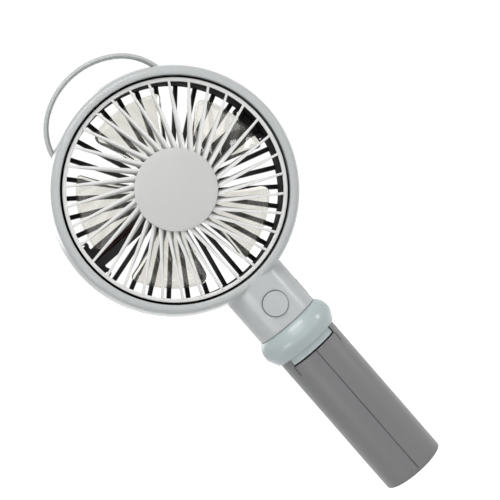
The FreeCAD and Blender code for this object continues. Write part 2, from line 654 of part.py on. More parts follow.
def make_front_grille():
    body = new_body("front_grille", lifted=True)
    body.Placement.Rotation = Rotation(Vector(0, -1, 0), 1)
    body.setExpression(".Placement.Rotation.Angle", bind("vane_start"))
    plate_back = "-hub_front + hub_plate"
    turned(body, "XY_Plane", [
        ("0", "-hub_front"),
        ("0", plate_back),
        ("hub_radius - hub_rim", plate_back),
        ("hub_radius - hub_rim", "-hub_front + hub_rim_depth"),
        ("hub_radius", "-hub_front + hub_rim_depth"),
        ("hub_radius", "-hub_front"),
    ])
    root = new_sketch(body, "YZ_Plane", "vane_root")
    add_outline(root, vane_section("hub_front - vane_set", "vane_root_gain", "vane_twist"))
    tip = new_sketch(body, "YZ_Plane", "vane_tip")
    add_outline(tip, vane_section("ring_front + ridge", "0", "vane_lean"))
    doc.recompute()
    vane = body.newObject("PartDesign::AdditiveLoft", "vane")
    vane.Profile = root
    vane.Sections = [tip]
    vane.Ruled = True
    ring_of(body, [vane], "Y_Axis", "vane_count")
    ring_out = "lip_radius - groove_width"
    ring_in = ring_out + " - ring_width"
    turned(body, "XY_Plane", [
        (ring_in, "-duct_front"),
        (ring_out, "-duct_front"),
        (ring_out, "ring_bevel - ring_front"),
        ("%s - ring_bevel" % ring_out, "-ring_front"),
        ("%s + ring_bevel" % ring_in, "-ring_front"),
        (ring_in, "ring_bevel - ring_front"),
    ])


def vane_section(front, gain, set_over):
    """Section of a vane: a narrow front edge, and a rear edge set over to one side."""
    near, far = "-(%s)" % front, "vane_depth - (%s)" % front
    half_front, half_back = "(vane_front + %s) / 2" % gain, "(vane_back + %s) / 2" % gain
    return [
        (near, "-vane_miss - %s" % half_front),
        (near, "%s - vane_miss" % half_front),
        (far, "%s + %s - vane_miss" % (set_over, half_back)),
        (far, "%s - %s - vane_miss" % (set_over, half_back)),
    ]


def make_hub_cap():
    body = new_body("hub_cap", lifted=True)
    rim = "hub_front + cap_edge"
    dome = "((cap_radius - ring_bevel) ^ 2 + cap_dome ^ 2) / (2 * cap_dome)"
    turned(body, "XY_Plane", [
        ("0", "-hub_front"),
        ("cap_radius", "-hub_front"),
        ("cap_radius", "ring_bevel - (%s)" % rim),
        ("cap_radius - ring_bevel", "-(%s)" % rim),
        ("0", "-(%s) - cap_dome" % rim, "-(%s)" % dome),
    ])


def make_rear_grille():
    body = new_body("rear_grille", lifted=True)
    seat = "rear_depth"
    bore = "motor_radius + snug"
    can_end = "motor_length - motor_front"
    cup_end = "cup_back"
    turned(body, "XY_Plane", [
        (bore, "%s - cup_reach" % can_end),
        ("%s + cup_wall" % bore, "%s - cup_reach" % can_end),
        ("%s + cup_wall" % bore, cup_end),
        ("0", cup_end),
        ("0", "%s - cup_wall" % cup_end),
        (bore, "%s - cup_wall" % cup_end),
        (bore, "%s + cup_floor" % can_end),
        ("motor_cap_radius + fit", "%s + cup_floor" % can_end),
        ("motor_cap_radius + fit", can_end),
        (bore, can_end),
    ])
    strip = new_sketch(body, "XZ_Plane", "spoke_set - %s" % seat)
    strip.AttachmentOffset.Rotation = Rotation(Vector(0, 0, 1), 1)
    strip.setExpression(".AttachmentOffset.Rotation.Angle", bind("spoke_start"))
    root, tip = "motor_radius + cup_wall / 2", "(duct_mouth + duct_wall / 2)"
    low, high = "(spoke_bow - spoke_width / 2)", "(spoke_bow + spoke_width / 2)"
    height = "sqrt(%s ^ 2 - (%s - spoke_crest) ^ 2) - spoke_bow"
    add_outline(strip, [
        (root, height % (low, root)),
        (tip, height % (low, tip), "-" + low),
        (tip, height % (high, tip)),
        (root, height % (high, root), high),
    ])
    spoke = pad(body, strip, "spoke_depth")
    ring_of(body, [spoke], "Y_Axis", "spoke_count")
    for sign in ("", "-"):
        arm = new_sketch(body, "XZ_Plane", "spoke_set - %s" % seat)
        add_outline(arm, box_corners(
            sign + "(%s)" % root, "-arm_width / 2", sign + "(%s)" % tip, "arm_width / 2"))
        pad(body, arm, "arm_depth")
    lip_face = "rear_depth - rear_lip_depth - snug"
    turned(body, "XY_Plane", [
        ("duct_radius", "-duct_front"),
        ("duct_radius + duct_wall", "-duct_front"),
        ("duct_mouth + duct_wall", "%s - flange_depth" % lip_face),
        ("duct_mouth + duct_wall + duct_flange", "%s - flange_depth" % lip_face),
        ("duct_mouth + duct_wall + duct_flange", lip_face),
        ("duct_mouth + duct_wall", lip_face),
        ("duct_mouth + duct_wall", seat),
        ("duct_mouth", seat),
    ])
    channel = new_sketch(body, "YZ_Plane", "-duct_radius")
    add_outline(channel, box_corners(
        "%s - lead_radius - fit" % ARM_FRONT, "-lead_radius - fit",
        "%s + lead_radius + fit" % LEAD_DEPTH, "lead_radius + fit"))
    pocket(body, channel, "duct_radius - motor_cap_radius")
    side = new_sketch(body, "YZ_Plane", "-duct_mouth - duct_wall - fit")
    add_circle(side, LEAD_DEPTH, "-lead_hole_set", "lead_hole")
    pocket(body, side, "duct_mouth + duct_wall - duct_radius + lead_radius")


def make_motor():
    can = new_body("motor_can", lifted=True)
    bore, shaft_end = "shaft_radius + shaft_play", "motor_length - motor_front - cap_edge / 2"
    turned(can, "XY_Plane", [
        (bore, "-motor_front - motor_boss_length"),
        ("motor_boss_radius", "-motor_front - motor_boss_length"),
        ("motor_boss_radius", "-motor_front"),
        ("motor_radius - cap_edge", "-motor_front"),
        ("motor_radius", "cap_edge - motor_front", "cap_edge"),
        ("motor_radius", "motor_length - motor_front"),
        ("0", "motor_length - motor_front"),
        ("0", shaft_end),
        (bore, shaft_end),
    ])
    cap = new_body("motor_end_cap", lifted=True)
    face = new_sketch(cap, "XZ_Plane", "motor_front - motor_length")
    add_circle(face, "0", "0", "motor_cap_radius")
    pad(cap, face, "motor_cap_length", back=True)
    for sign in ("", "-"):
        blade = new_sketch(cap, "XZ_Plane", "motor_front - motor_length - motor_cap_length")
        middle = "%sterminal_offset" % sign
        add_outline(blade, box_corners(
            "%s - terminal_thickness / 2" % middle, "-terminal_width / 2",
            "%s + terminal_thickness / 2" % middle, "terminal_width / 2"))
        pad(cap, blade, "terminal_length", back=True)
    shaft = new_body("motor_shaft", lifted=True)
    end = new_sketch(shaft, "XZ_Plane", "shaft_reach")
    add_circle(end, "0", "0", "shaft_radius")
    pad(shaft, end, "shaft_reach + %s - snug" % shaft_end, back=True)


def make_impeller():
    body = new_body("impeller", lifted=True)
    body.Placement.Rotation = Rotation(Vector(0, -1, 0), 1)
    body.setExpression(".Placement.Rotation.Angle", bind("blade_start"))
    round_nose = "rotor_hub_wall"
    turned(body, "XY_Plane", [
        ("0", "-rotor_front"),
        ("rotor_hub_radius - %s" % round_nose, "-rotor_front"),
        ("rotor_hub_radius", "%s - rotor_front" % round_nose, round_nose),
        ("rotor_hub_radius", "rotor_back"),
        ("0", "rotor_back"),
    ])
    sections = []
    for reach in ("(rotor_hub_radius - 2 * rotor_hub_wall)", "(blade_radius + blade_thickness)"):
        half = "(%s * tan(blade_half_span + blade_trim / 4))" % reach
        belly = "(blade_belly * %s / blade_radius)" % reach
        bend = "((%s ^ 2 + blade_rise ^ 2 + %s ^ 2) / (2 * %s))" % (half, belly, belly)
        section = new_sketch(body, "YZ_Plane", reach)
        near, far = "-blade_middle - blade_rise", "blade_rise - blade_middle"
        add_outline(section, [
            ("%s - blade_thickness / 2" % near, "-" + half),
            ("%s - blade_thickness / 2" % far, half, bend),
            ("%s + blade_thickness / 2" % far, half),
            ("%s + blade_thickness / 2" % near, "-" + half, "-" + bend),
        ])
        sections.append(section)
    doc.recompute()
    blade = body.newObject("PartDesign::AdditiveLoft", "blade")
    blade.Profile = sections[0]
    blade.Sections = sections[1:]
    blade.Ruled = True
    doc.recompute()
    around = new_sketch(body, "XZ_Plane")
    straight = "sqrt((blade_radius - blade_corner) ^ 2 - blade_corner ^ 2)"
    swing = "(blade_half_span * 1deg - asin(blade_corner / (blade_radius - blade_corner)))"
    start, edge = "rotor_hub_radius + fit", "blade_radius + 2 * blade_thickness"
    wide = "tan(blade_half_span + blade_trim)"
    add_outline(around, [
        (start, "(%s) * tan(blade_half_span)" % start),
        ("%s * cos(blade_half_span)" % straight, "%s * sin(blade_half_span)" % straight),
        ("blade_radius * cos(%s)" % swing, "blade_radius * sin(%s)" % swing, "-blade_corner"),
        ("blade_radius * cos(%s)" % swing, "-blade_radius * sin(%s)" % swing, "-blade_radius"),
        ("%s * cos(blade_half_span)" % straight, "-%s * sin(blade_half_span)" % straight, "-blade_corner"),
        (start, "-(%s) * tan(blade_half_span)" % start),
        (start, "-(%s) * %s" % (start, wide)),
        (edge, "-(%s) * %s" % (edge, wide)),
        (edge, "(%s) * %s" % (edge, wide)),
        (start, "(%s) * %s" % (start, wide)),
    ])
    trim = pocket(body, around, "4 * (blade_rise + blade_middle)", both=True)
    ring_of(body, [blade, trim], "Y_Axis", "blade_count")
    plate = "rotor_hub_wall - rotor_front"
    bore = "shaft_radius + shaft_play"
    inside = new_sketch(body, "XY_Plane")
    add_outline(inside, [
        ("0", "-shaft_reach - snug"),
        (bore, "-shaft_reach - snug"),
        (bore, "rotor_boss_length - rotor_front"),
        ("rotor_boss_radius", "rotor_boss_length - rotor_front"),
        ("rotor_boss_radius", plate),
        ("rotor_hub_radius - rotor_hub_wall", plate),
        ("rotor_hub_radius - rotor_hub_wall", "2 * rotor_back"),
        ("0", "2 * rotor_back"),
    ])
    groove(body, inside)


def make_hanging_loop():
    body = new_body("hanging_loop", lifted=True)
    inside = "-loop_thickness"
    side, crown = "(loop_side - loop_thickness)", "(loop_crown - loop_thickness)"
    strip = new_sketch(body, "XZ_Plane")
    add_outline(strip, [
        loop_point("0", "loop_end_angle", 1),
        loop_point("0", "loop_crown_angle", 1) + ("loop_side",),
        loop_point("0", "loop_crown_angle", -1) + ("loop_crown",),
        loop_point("0", "loop_end_angle", -1) + ("loop_side",),
        loop_point(inside, "loop_end_angle", -1),
        loop_point(inside, "loop_crown_angle", -1) + ("-" + side,),
        loop_point(inside, "loop_crown_angle", 1) + ("-" + crown,),
        loop_point(inside, "loop_end_angle", 1) + ("-" + side,),
    ])
    pad(body, strip, "loop_depth", both=True)
    round_edges(body, "loop_round", lambda edge: edge.Length > 2 * number("loop_depth"))
    for hand in (1, -1):
        foot = new_sketch(body, "XZ_Plane")
        add_outline(foot, loop_sector(hand, "loop_end_angle", "loop_foot_angle", "0"))
        pad(body, foot, "loop_foot_depth", both=True)


def make_hinge_collar():
    body = new_body("hinge_collar")
    inset, rise = "(collar_radius - neck_radius)", "(seam_height - collar_waist)"
    flare = "((%s ^ 2 + %s ^ 2) / (2 * %s))" % (inset, rise, inset)
    spigot = "%s - neck_rim - fit" % NECK_BORE
    flange_low = "seam_height + seam_gap + neck_rim_height + fit"
    turned(body, "XZ_Plane", [
        ("0", "collar_floor"),
        ("collar_bore", "collar_floor"),
        ("collar_bore", "spigot_top"),
        ("%s - fit" % NECK_BORE, "spigot_top"),
        ("%s - fit" % NECK_BORE, flange_low),
        (spigot, flange_low),
        (spigot, "seam_height"),
        ("neck_radius", "seam_height"),
        ("collar_radius", "collar_waist", "-" + flare),
        ("collar_radius - collar_edge_inset", "collar_edge", "-collar_edge_round"),
        ("collar_base_radius", "collar_base"),
        ("0", "collar_base"),
    ])
    tongue = new_sketch(body, "YZ_Plane")
    inside = "collar_base + fit"
    front_low = "front_wall_top + front_gap"
    add_outline(tongue, [
        ("pivot_back + knuckle_radius", inside),
        ("-grip_radius", inside),
        ("-grip_radius", front_low),
        ("-tongue_step", front_low),
        ("pivot_back - knuckle_radius", "pivot_height"),
        ("pivot_back + knuckle_radius", "pivot_height", "knuckle_radius"),
    ])
    pad(body, tongue, "2 * tongue_half", both=True)
    around = new_sketch(body, "XZ_Plane")
    groove(body, add_outline(around, box_corners(
        "grip_radius - tongue_inset", "bulkhead_top - knuckle_radius",
        "2 * grip_radius", "collar_base")))
    bore = new_sketch(body, "YZ_Plane")
    add_circle(bore, "pivot_back", "pivot_height", "pin_radius + shaft_play")
    pocket(body, bore, "2 * grip_radius", both=True)
    passage = new_sketch(body, "XY_Plane", "bulkhead_top")
    add_circle(passage, "0", "-passage_front", "passage_radius")
    pocket(body, passage, "collar_floor - bulkhead_top + fit")


def half_disc(outer, side):
    """Half disc on the XY plane: the left half for side -1, the right half for side 1."""
    there = "" if side < 0 else "-"
    return [("0", outer), ("0", "-" + outer, there + outer)]


def grip_half(outer, inner, side):
    """Half ring of the grip, with its outer corners cut back where the shells meet."""
    there, back = ("", "-") if side < 0 else ("-", "")
    edge = "%sseam_vee" % ("-" if side < 0 else "")
    level = "sqrt(%s ^ 2 - seam_vee ^ 2)" % outer
    return [
        ("0", "%s - seam_vee" % outer),
        (edge, level),
        (edge, "-" + level, there + outer),
        ("0", "seam_vee - %s" % outer),
        ("0", "-" + inner),
        ("0", inner, back + inner),
    ]


def make_grip_shell(label, side):
    """Half shell of the grip: left for side -1, right for side 1."""
    body = new_body(label)
    sign = "-" if side < 0 else ""
    outward = side < 0
    wall = add_outline(new_sketch(body, "XY_Plane", "end_thickness"), grip_half("grip_radius", GRIP_BORE, side))
    pad(body, wall, "ear_top - end_thickness")
    chord = "sqrt(grip_radius ^ 2 - slot_half ^ 2)"
    floor_low = "bulkhead_top - bulkhead"
    ear = new_sketch(body, "XY_Plane", floor_low)
    bulge = "%sgrip_radius" % ("" if side < 0 else "-")
    add_outline(ear, [
        (sign + "slot_half", chord),
        (sign + "slot_half", "-" + chord, bulge),
    ])
    pad(body, ear, "ear_top - (%s)" % floor_low)
    floor_edge = "(grip_radius - grip_wall / 2)"
    floor = add_outline(new_sketch(body, "XY_Plane", floor_low), half_disc(floor_edge, side))
    pad(body, floor, "bulkhead")
    slot = new_sketch(body, "YZ_Plane")
    add_outline(slot, [
        ("-2 * grip_radius", "front_wall_top"),
        ("-2 * grip_radius", "2 * ear_top"),
        ("2 * grip_radius", "2 * ear_top"),
        ("2 * grip_radius", "bulkhead_top"),
        ("0", "bulkhead_top"),
        ("0", "front_wall_top"),
    ])
    pocket(body, slot, "slot_half", back=outward)
    corner = new_sketch(body, "YZ_Plane")
    reach = "(ear_top - pivot_height)"
    add_outline(corner, [
        ("pivot_back", "ear_top", reach),
        ("2 * grip_radius", "ear_top"),
        ("2 * grip_radius", "pivot_height"),
        ("pivot_back + %s" % reach, "pivot_height"),
    ])
    pocket(body, corner, "2 * grip_radius", back=outward)
    for_leads = new_sketch(body, "XY_Plane", floor_low)
    add_circle(for_leads, "0", "-grip_lead_front", "lead_channel")
    pocket(body, for_leads, "bulkhead")
    rib = new_sketch(body, "XY_Plane", "rib_first - rib_thickness / 2")
    hold_radius = "(cell_radius + cell_play)"
    there, back = ("", "-") if side < 0 else ("-", "")
    cut = sign + "lead_channel"
    add_outline(rib, [
        ("0", floor_edge),
        ("0", "-" + floor_edge, there + floor_edge),
        ("0", "-lead_notch"),
        (cut, "-lead_notch"),
        (cut, "-sqrt(%s ^ 2 - lead_channel ^ 2)" % hold_radius),
        ("0", hold_radius, back + hold_radius),
    ])
    ribs = pad(body, rib, "rib_thickness")
    row_of(body, [ribs], "Z_Axis", "rib_count", "rib_step * (rib_count - 1)")
    boss = new_sketch(body, "YZ_Plane")
    add_circle(boss, "grip_screw_back", "grip_screw_first", "grip_boss_radius")
    length = "grip_boss_length" if side < 0 else "grip_seat_boss_length"
    bosses = pad(body, boss, length, back=outward)
    row_of(body, [bosses], "Z_Axis", "grip_screw_count", "grip_screw_step * (grip_screw_count - 1)")
    hole = new_sketch(body, "YZ_Plane")
    add_circle(hole, "grip_screw_back", "grip_screw_first", "grip_screw_radius + snug")
    depth = "grip_screw_tip + snug" if side < 0 else "grip_head_seat"
    holes = pocket(body, hole, depth, back=outward)
    drilled = [holes]
    if side > 0:
        seat = new_sketch(body, "YZ_Plane", "grip_head_seat")
        add_circle(seat, "grip_screw_back", "grip_screw_first", "grip_head_radius + fit")
        drilled.append(pocket(body, seat, "grip_radius - grip_head_seat"))
    row_of(body, drilled, "Z_Axis", "grip_screw_count", "grip_screw_step * (grip_screw_count - 1)")
    if side > 0:
        outside = new_sketch(body, "XZ_Plane")
        groove(body, add_outline(outside, box_corners(
            "grip_radius", "end_thickness", "2 * grip_radius", "bulkhead_top")))
    pivot = new_sketch(body, "YZ_Plane")
    add_circle(pivot, "pivot_back", "pivot_height", "pin_radius")
    pocket(body, pivot, "pin_half_length + snug", back=outward)
    crease = new_sketch(body, "XZ_Plane", "%s - crease_depth" % chord)
    near, far = sign + "(slot_half - snug)", sign + "(slot_half + crease_width)"
    low = "front_wall_top - crease_length"
    ends = (far, near) if side < 0 else (near, far)
    add_outline(crease, box_corners(ends[0], low, ends[1], "front_wall_top"))
    pocket(body, crease, "2 * crease_depth")


def make_grip_inside():
    pin = new_body("hinge_pin")
    end = new_sketch(pin, "YZ_Plane")
    add_circle(end, "pivot_back", "pivot_height", "pin_radius")
    pad(pin, end, "2 * pin_half_length", both=True)
    group("friction_washers", [make_washer(hand) for hand in (1, -1)])
    cell = new_body("battery_cell")
    top = "cell_base + cell_length"
    turned(cell, "XZ_Plane", [
        ("0", "cell_base"),
        ("cell_radius", "cell_base"),
        ("cell_radius", "%s - cell_nub" % top),
        ("cell_radius - cell_nub", top, "cell_nub"),
        ("cell_nub_radius", top),
        ("cell_nub_radius", "%s + cell_nub" % top),
        ("0", "%s + cell_nub" % top),
    ])
    pad_body = new_body("battery_pad")
    disc = new_sketch(pad_body, "XY_Plane", "end_thickness")
    add_circle(disc, "0", "0", "pad_radius")
    pad(pad_body, disc, "cell_base - tab_thickness - end_thickness")
    reach = "grip_lead_front + grip_lead_radius"
    group("battery_tabs", [
        block("cell_tab_low", ("-tab_width / 2", "-(%s)" % reach, "cell_base - tab_thickness"),
              ("tab_width", reach + " + cell_nub_radius", "tab_thickness")),
        block("cell_tab_high", ("grip_lead_radius - grip_lead_offset + fit", "-(%s)" % reach, top + " + cell_nub"),
              ("tab_width", reach + " + cell_nub_radius", "tab_thickness")),
    ])
    group("battery_leads", [
        rod("lead_low", "grip_lead_radius", "grip_lead_top - cell_base",
            ("-grip_lead_offset", "-grip_lead_front", "cell_base"), (0, 0, 1)),
        rod("lead_high", "grip_lead_radius", "grip_lead_top - (%s + cell_nub + tab_thickness)" % top,
            ("grip_lead_offset", "-grip_lead_front", top + " + cell_nub + tab_thickness"), (0, 0, 1)),
    ])
    end_cap = new_body("end_cap")
    plug = "%s - snug" % GRIP_BORE
    turned(end_cap, "XZ_Plane", [
        ("0", "0"),
        ("grip_radius - end_bevel", "0"),
        ("grip_radius", "end_bevel"),
        ("grip_radius", "end_thickness"),
        (plug, "end_thickness"),
        (plug, "end_plug_top"),
        ("%s - end_plug_wall" % plug, "end_plug_top"),
        ("%s - end_plug_wall" % plug, "end_thickness"),
        ("0", "end_thickness"),
    ])


def make_washer(hand):
    """Friction washer on the hinge pin, to the right for hand 1 and to the left for hand -1."""
    inner, outer = "tongue_half + washer_play", "slot_half - washer_play"
    name = "washer_right" if hand > 0 else "washer_left"
    start = inner if hand > 0 else "-(%s)" % outer
    place = (start, "pivot_back", "pivot_height")
    thickness = "%s - (%s)" % (outer, inner)
    cut = doc.addObject("Part::Cut", name)
    cut.Base = rod(name + "_disc", "washer_radius", thickness, place, (1, 0, 0))
    cut.Tool = rod(name + "_hole", "pin_radius + snug", thickness, place, (1, 0, 0))
    return cut


def screw_group(label, places, axis, head_radius, head_depth, radius, length):
    """Alike screws: place is the middle of the head's seat, axis points from tip to head."""
    screws = []
    away = [-part for part in axis]
    for count, place in enumerate(places, start=1):
        name = "%s_%d" % (label, count)
        head = rod(name + "_head", head_radius, head_depth, place, axis)
        shank = rod(name + "_shank", radius, length, place, away)
        screws.append(fused(name, [head, shank]))
    group(label, screws)


def make_electronics():
    board = new_body("control_board", lifted=True)
    plate = new_sketch(board, "XZ_Plane", "board_back")
    add_outline(plate, box_corners(
        "-board_half_width", "board_low - head_height", "board_half_width", "board_high - head_height"))
    pad(board, plate, "board_thickness")
    for hand in ("", "-"):
        hole = new_sketch(board, "XZ_Plane", "board_back")
        add_circle(hole, hand + "board_screw_offset", "board_screw_height - head_height", "board_screw_radius + fit")
        pocket(board, hole, "board_thickness")
    switch = new_body("switch_body", lifted=True)
    front = "board_back + board_thickness"
    middle = "button_height - head_height"
    face = new_sketch(switch, "XZ_Plane", front)
    add_outline(face, box_corners(
        "-switch_side / 2", "%s - switch_side / 2" % middle, "switch_side / 2", "%s + switch_side / 2" % middle))
    pad(switch, face, "switch_depth")
    top = "%s + switch_depth" % front
    recess = "plunger_seat"
    well = new_sketch(switch, "XZ_Plane", top)
    add_circle(well, "0", middle, "plunger_radius + fit")
    pocket(switch, well, recess, back=True)
    plunger = new_body("switch_plunger", lifted=True)
    tip = new_sketch(plunger, "XZ_Plane", "%s + button_travel + fit - %s" % (top, recess))
    add_circle(tip, "0", middle, "plunger_radius")
    pad(plunger, tip, "plunger_reach + %s - button_travel - fit" % recess)
    button = new_body("power_button", lifted=True)
    flange = new_sketch(button, "XZ_Plane", "%s + plunger_reach" % top)
    add_circle(flange, "0", middle, "flange_radius")
    pad(button, flange, "flange_thickness")
    cap = new_sketch(button, "XZ_Plane", "%s + plunger_reach" % top)
    add_circle(cap, "0", middle, "button_radius")
    pad(button, cap, "neck_radius + 2 * button_proud - (%s + plunger_reach)" % top)
    around = new_sketch(button, "XZ_Plane")
    groove(button, add_outline(around, box_corners(
        "neck_radius + button_proud", "%s - 2 * button_radius" % middle,
        "2 * neck_radius", "%s + 2 * button_radius" % middle)))
    socket = new_body("charging_socket", lifted=True)
    place = "socket_height - head_height"
    shell = new_sketch(socket, "YZ_Plane", "socket_reach - socket_length")
    add_outline(shell, box_corners(
        "-board_back", "%s - socket_width / 2" % place,
        "socket_thickness - board_back", "%s + socket_width / 2" % place))
    pad(socket, shell, "socket_length")
    mouth = new_sketch(socket, "YZ_Plane", "socket_reach - socket_length + 2 * socket_wall")
    add_outline(mouth, box_corners(
        "socket_wall - board_back", "%s - socket_width / 2 + socket_wall" % place,
        "socket_thickness - board_back - socket_wall", "%s + socket_width / 2 - socket_wall" % place))
    pocket(socket, mouth, "socket_length")
    tongue = new_sketch(socket, "YZ_Plane", "socket_reach - socket_length + socket_wall")
    add_outline(tongue, box_corners(
        "socket_thickness / 2 - board_back - socket_wall", "%s - socket_width / 4" % place,
        "socket_thickness / 2 - board_back + socket_wall", "%s + socket_width / 4" % place))
    pad(socket, tongue, "socket_length - 3 * socket_wall")


def make_fasteners():
    case_places = [(hand + "case_screw_offset", "case_head_seat", "case_screw_height") for hand in ("", "-")]
    screw_group("case_screws", case_places, (0, 1, 0), "case_head_radius", "case_head_depth",
                "case_screw_radius", "case_head_seat + case_screw_end")
    board_places = [(hand + "board_screw_offset", "-board_back", "board_screw_height") for hand in ("", "-")]
    screw_group("board_screws", board_places, (0, 1, 0), "board_head_radius", "board_head_depth",
                "board_screw_radius", "board_screw_length")
    grip_places = [
        ("grip_head_seat", "grip_screw_back", "grip_screw_first + %d * grip_screw_step" % step)
        for step in range(int(number("grip_screw_count")))
    ]
    screw_group("grip_screws", grip_places, (1, 0, 0), "grip_head_radius", "grip_head_depth",
                "grip_screw_radius", "grip_head_seat + grip_screw_tip")


def make_leads():
    channel = "(duct_mouth + duct_wall + head_radius - shell_wall - shoulder_inset) / 2"
    steps = int(number("lead_steps"))
    around = [
        ("-%s * cos(%s)" % (channel, turn), LEAD_DEPTH, "head_height - %s * sin(%s)" % (channel, turn))
        for turn in ("%d * 90 / (lead_steps + 0.5)" % step for step in range(1, steps))
    ]
    start = ("-terminal_offset - terminal_thickness / 2", LEAD_DEPTH, "head_height")
    corner = ("-%s" % channel, LEAD_DEPTH, "head_height")
    drop = ("0", LEAD_DEPTH, "head_height - %s" % channel)
    turn_in = ("0", LEAD_DEPTH, "board_high - 2 * lead_radius")
    finish = ("0", "-board_back", "board_high - 2 * lead_radius")
    route = [start, corner] + around + [drop, turn_in, finish]
    feature("motor_leads", lead("motor_leads", route, "lead_radius"))
    side, depth = "-board_half_width / 3", "3 * lead_radius - board_back"
    route = [
        (side, "-board_back", "board_low + 2 * lead_radius"),
        (side, depth, "board_low + 2 * lead_radius"),
        (side, depth, "seam_height"),
        ("0", "-passage_front", "collar_floor + 2 * lead_radius"),
        ("0", "-passage_front", "front_wall_top + front_gap"),
    ]
    feature("neck_leads", lead("neck_leads", route, "lead_radius"))


def feature(label, shape):
    """Piece whose shape is worked out from the sheet's sizes."""
    piece = doc.addObject("Part::Feature", label)
    piece.Shape = shape
    PIECES.append(piece)
    return piece


make_front_bezel()
make_rear_housing()
make_front_grille()
make_hub_cap()
make_rear_grille()
make_motor()
make_impeller()
make_hanging_loop()
make_hinge_collar()
make_grip_shell("grip_left_shell", -1)
make_grip_shell("grip_right_shell", 1)
make_grip_inside()
make_electronics()
make_fasteners()
make_leads()
doc.recompute()

os.makedirs("parts", exist_ok=True)
for item in doc.Objects:
    if "Invalid" in item.State or "Error" in item.State:
        raise RuntimeError("%s did not build: %s" % (item.Label, item.State))
for piece in PIECES:
    if piece.Shape.isNull() or not piece.Shape.isValid():
        raise RuntimeError("%s has no valid shape" % piece.Label)
    piece.Shape.exportStep(os.path.join("parts", piece.Label + ".step"))
    solids = piece.Shape.Solids
    box = piece.Shape.BoundBox
    print("%-18s %2d solid(s) %9.1f mm3  x %.1f %.1f  y %.1f %.1f  z %.1f %.1f" % (
        piece.Label, len(solids), piece.Shape.Volume,
        box.XMin, box.XMax, box.YMin, box.YMax, box.ZMin, box.ZMax))
print("%d pieces" % len(PIECES))
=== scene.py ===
import bmesh
import bpy
import math
from mathutils import Matrix, Vector


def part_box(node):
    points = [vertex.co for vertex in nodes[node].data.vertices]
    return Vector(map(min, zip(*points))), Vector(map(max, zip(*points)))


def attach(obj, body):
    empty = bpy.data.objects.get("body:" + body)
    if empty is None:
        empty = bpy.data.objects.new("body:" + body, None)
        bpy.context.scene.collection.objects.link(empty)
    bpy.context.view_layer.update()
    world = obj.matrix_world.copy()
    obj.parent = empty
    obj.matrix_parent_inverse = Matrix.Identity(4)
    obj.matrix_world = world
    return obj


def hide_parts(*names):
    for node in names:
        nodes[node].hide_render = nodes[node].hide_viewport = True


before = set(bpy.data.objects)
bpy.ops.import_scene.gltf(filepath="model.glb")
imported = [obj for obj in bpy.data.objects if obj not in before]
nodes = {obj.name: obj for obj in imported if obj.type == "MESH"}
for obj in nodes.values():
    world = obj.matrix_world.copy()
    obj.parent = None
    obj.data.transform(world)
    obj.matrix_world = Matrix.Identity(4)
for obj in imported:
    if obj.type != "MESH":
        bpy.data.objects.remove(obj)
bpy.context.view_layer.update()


# Camera: the picture is taken from the front, a little from the left and from above, with the
# camera turned so that the fan leans to the upper left.
aim = Vector((0.0082, 0.0, 0.1206))
azimuth, elevation, turn = math.radians(-4.95), math.radians(3.98), math.radians(41.02)
distance, focal_pixels, image_width = 0.6608, 1500.0, 500
back = Vector((math.sin(azimuth) * math.cos(elevation),
               -math.cos(azimuth) * math.cos(elevation),
               math.sin(elevation)))
level = (-back).cross(Vector((0, 0, 1))).normalized()
rise = level.cross(-back)
across = level * math.cos(turn) - rise * math.sin(turn)
upward = level * math.sin(turn) + rise * math.cos(turn)
camera_data = bpy.data.cameras.new("camera")
camera_data.lens = camera_data.sensor_width * focal_pixels / image_width
camera_data.clip_start, camera_data.clip_end = 0.01, 20.0
camera = bpy.data.objects.new("camera", camera_data)
camera.matrix_world = Matrix.Translation(aim + back * distance) @ Matrix(
    (across, upward, back)).transposed().to_4x4()
bpy.context.scene.collection.objects.link(camera)
bpy.context.scene.camera = camera
bpy.context.scene.view_settings.view_transform = "Standard"


# Studio light: wide soft boxes above, in front and low on the left, a narrow one on the right
# that draws the bright line down the neck, and one behind for the rear side. A dim even room
# fills the rest, and is white where the background shows.
def soft_box(name, direction, size, power, reach=1.1):
    lamp = bpy.data.lights.new(name, "AREA")
    lamp.shape = "RECTANGLE"
    lamp.size, lamp.size_y = size
    lamp.energy = power
    lamp_object = bpy.data.objects.new(name, lamp)
    lamp_object.location = aim + Vector(direction).normalized() * reach
    lamp_object.rotation_euler = Vector(direction).to_track_quat("Z", "Y").to_euler()
    bpy.context.scene.collection.objects.link(lamp_object)


soft_box("top_box", (0.08, -0.52, 0.85), (0.8, 0.5), 8.0)
soft_box("front_box", (0.0, -0.9, 0.46), (0.8, 0.5), 2.7)
soft_box("left_box", (-0.75, -0.6, -0.28), (0.6, 0.7), 9.0)
soft_box("right_box", (0.95, -0.32, -0.07), (0.1, 0.5), 2.2, reach=0.9)
soft_box("back_box", (-0.2, 0.85, 0.4), (0.8, 0.8), 3.0, reach=1.3)


def feed(tree, value, socket):
    """Give a node's input a number or another node's output."""
    if isinstance(value, bpy.types.NodeSocket):
        tree.links.new(value, socket)
    else:
        socket.default_value = value


def calculate(tree, operation, *values):
    """The result of a Math node on numbers or other nodes' outputs."""
    node = tree.nodes.new("ShaderNodeMath")
    node.operation = operation
    for value, socket in zip(values, node.inputs):
        feed(tree, value, socket)
    return node.outputs[0]


def background_rays(tree):
    """1 on the rays by which the camera, clear plastic or a gloss shows the background."""
    ray = tree.nodes.new("ShaderNodeLightPath").outputs
    direct = calculate(tree, "MAXIMUM", ray["Is Camera Ray"], ray["Is Transmission Ray"])
    return calculate(tree, "MAXIMUM", direct, ray["Is Glossy Ray"])


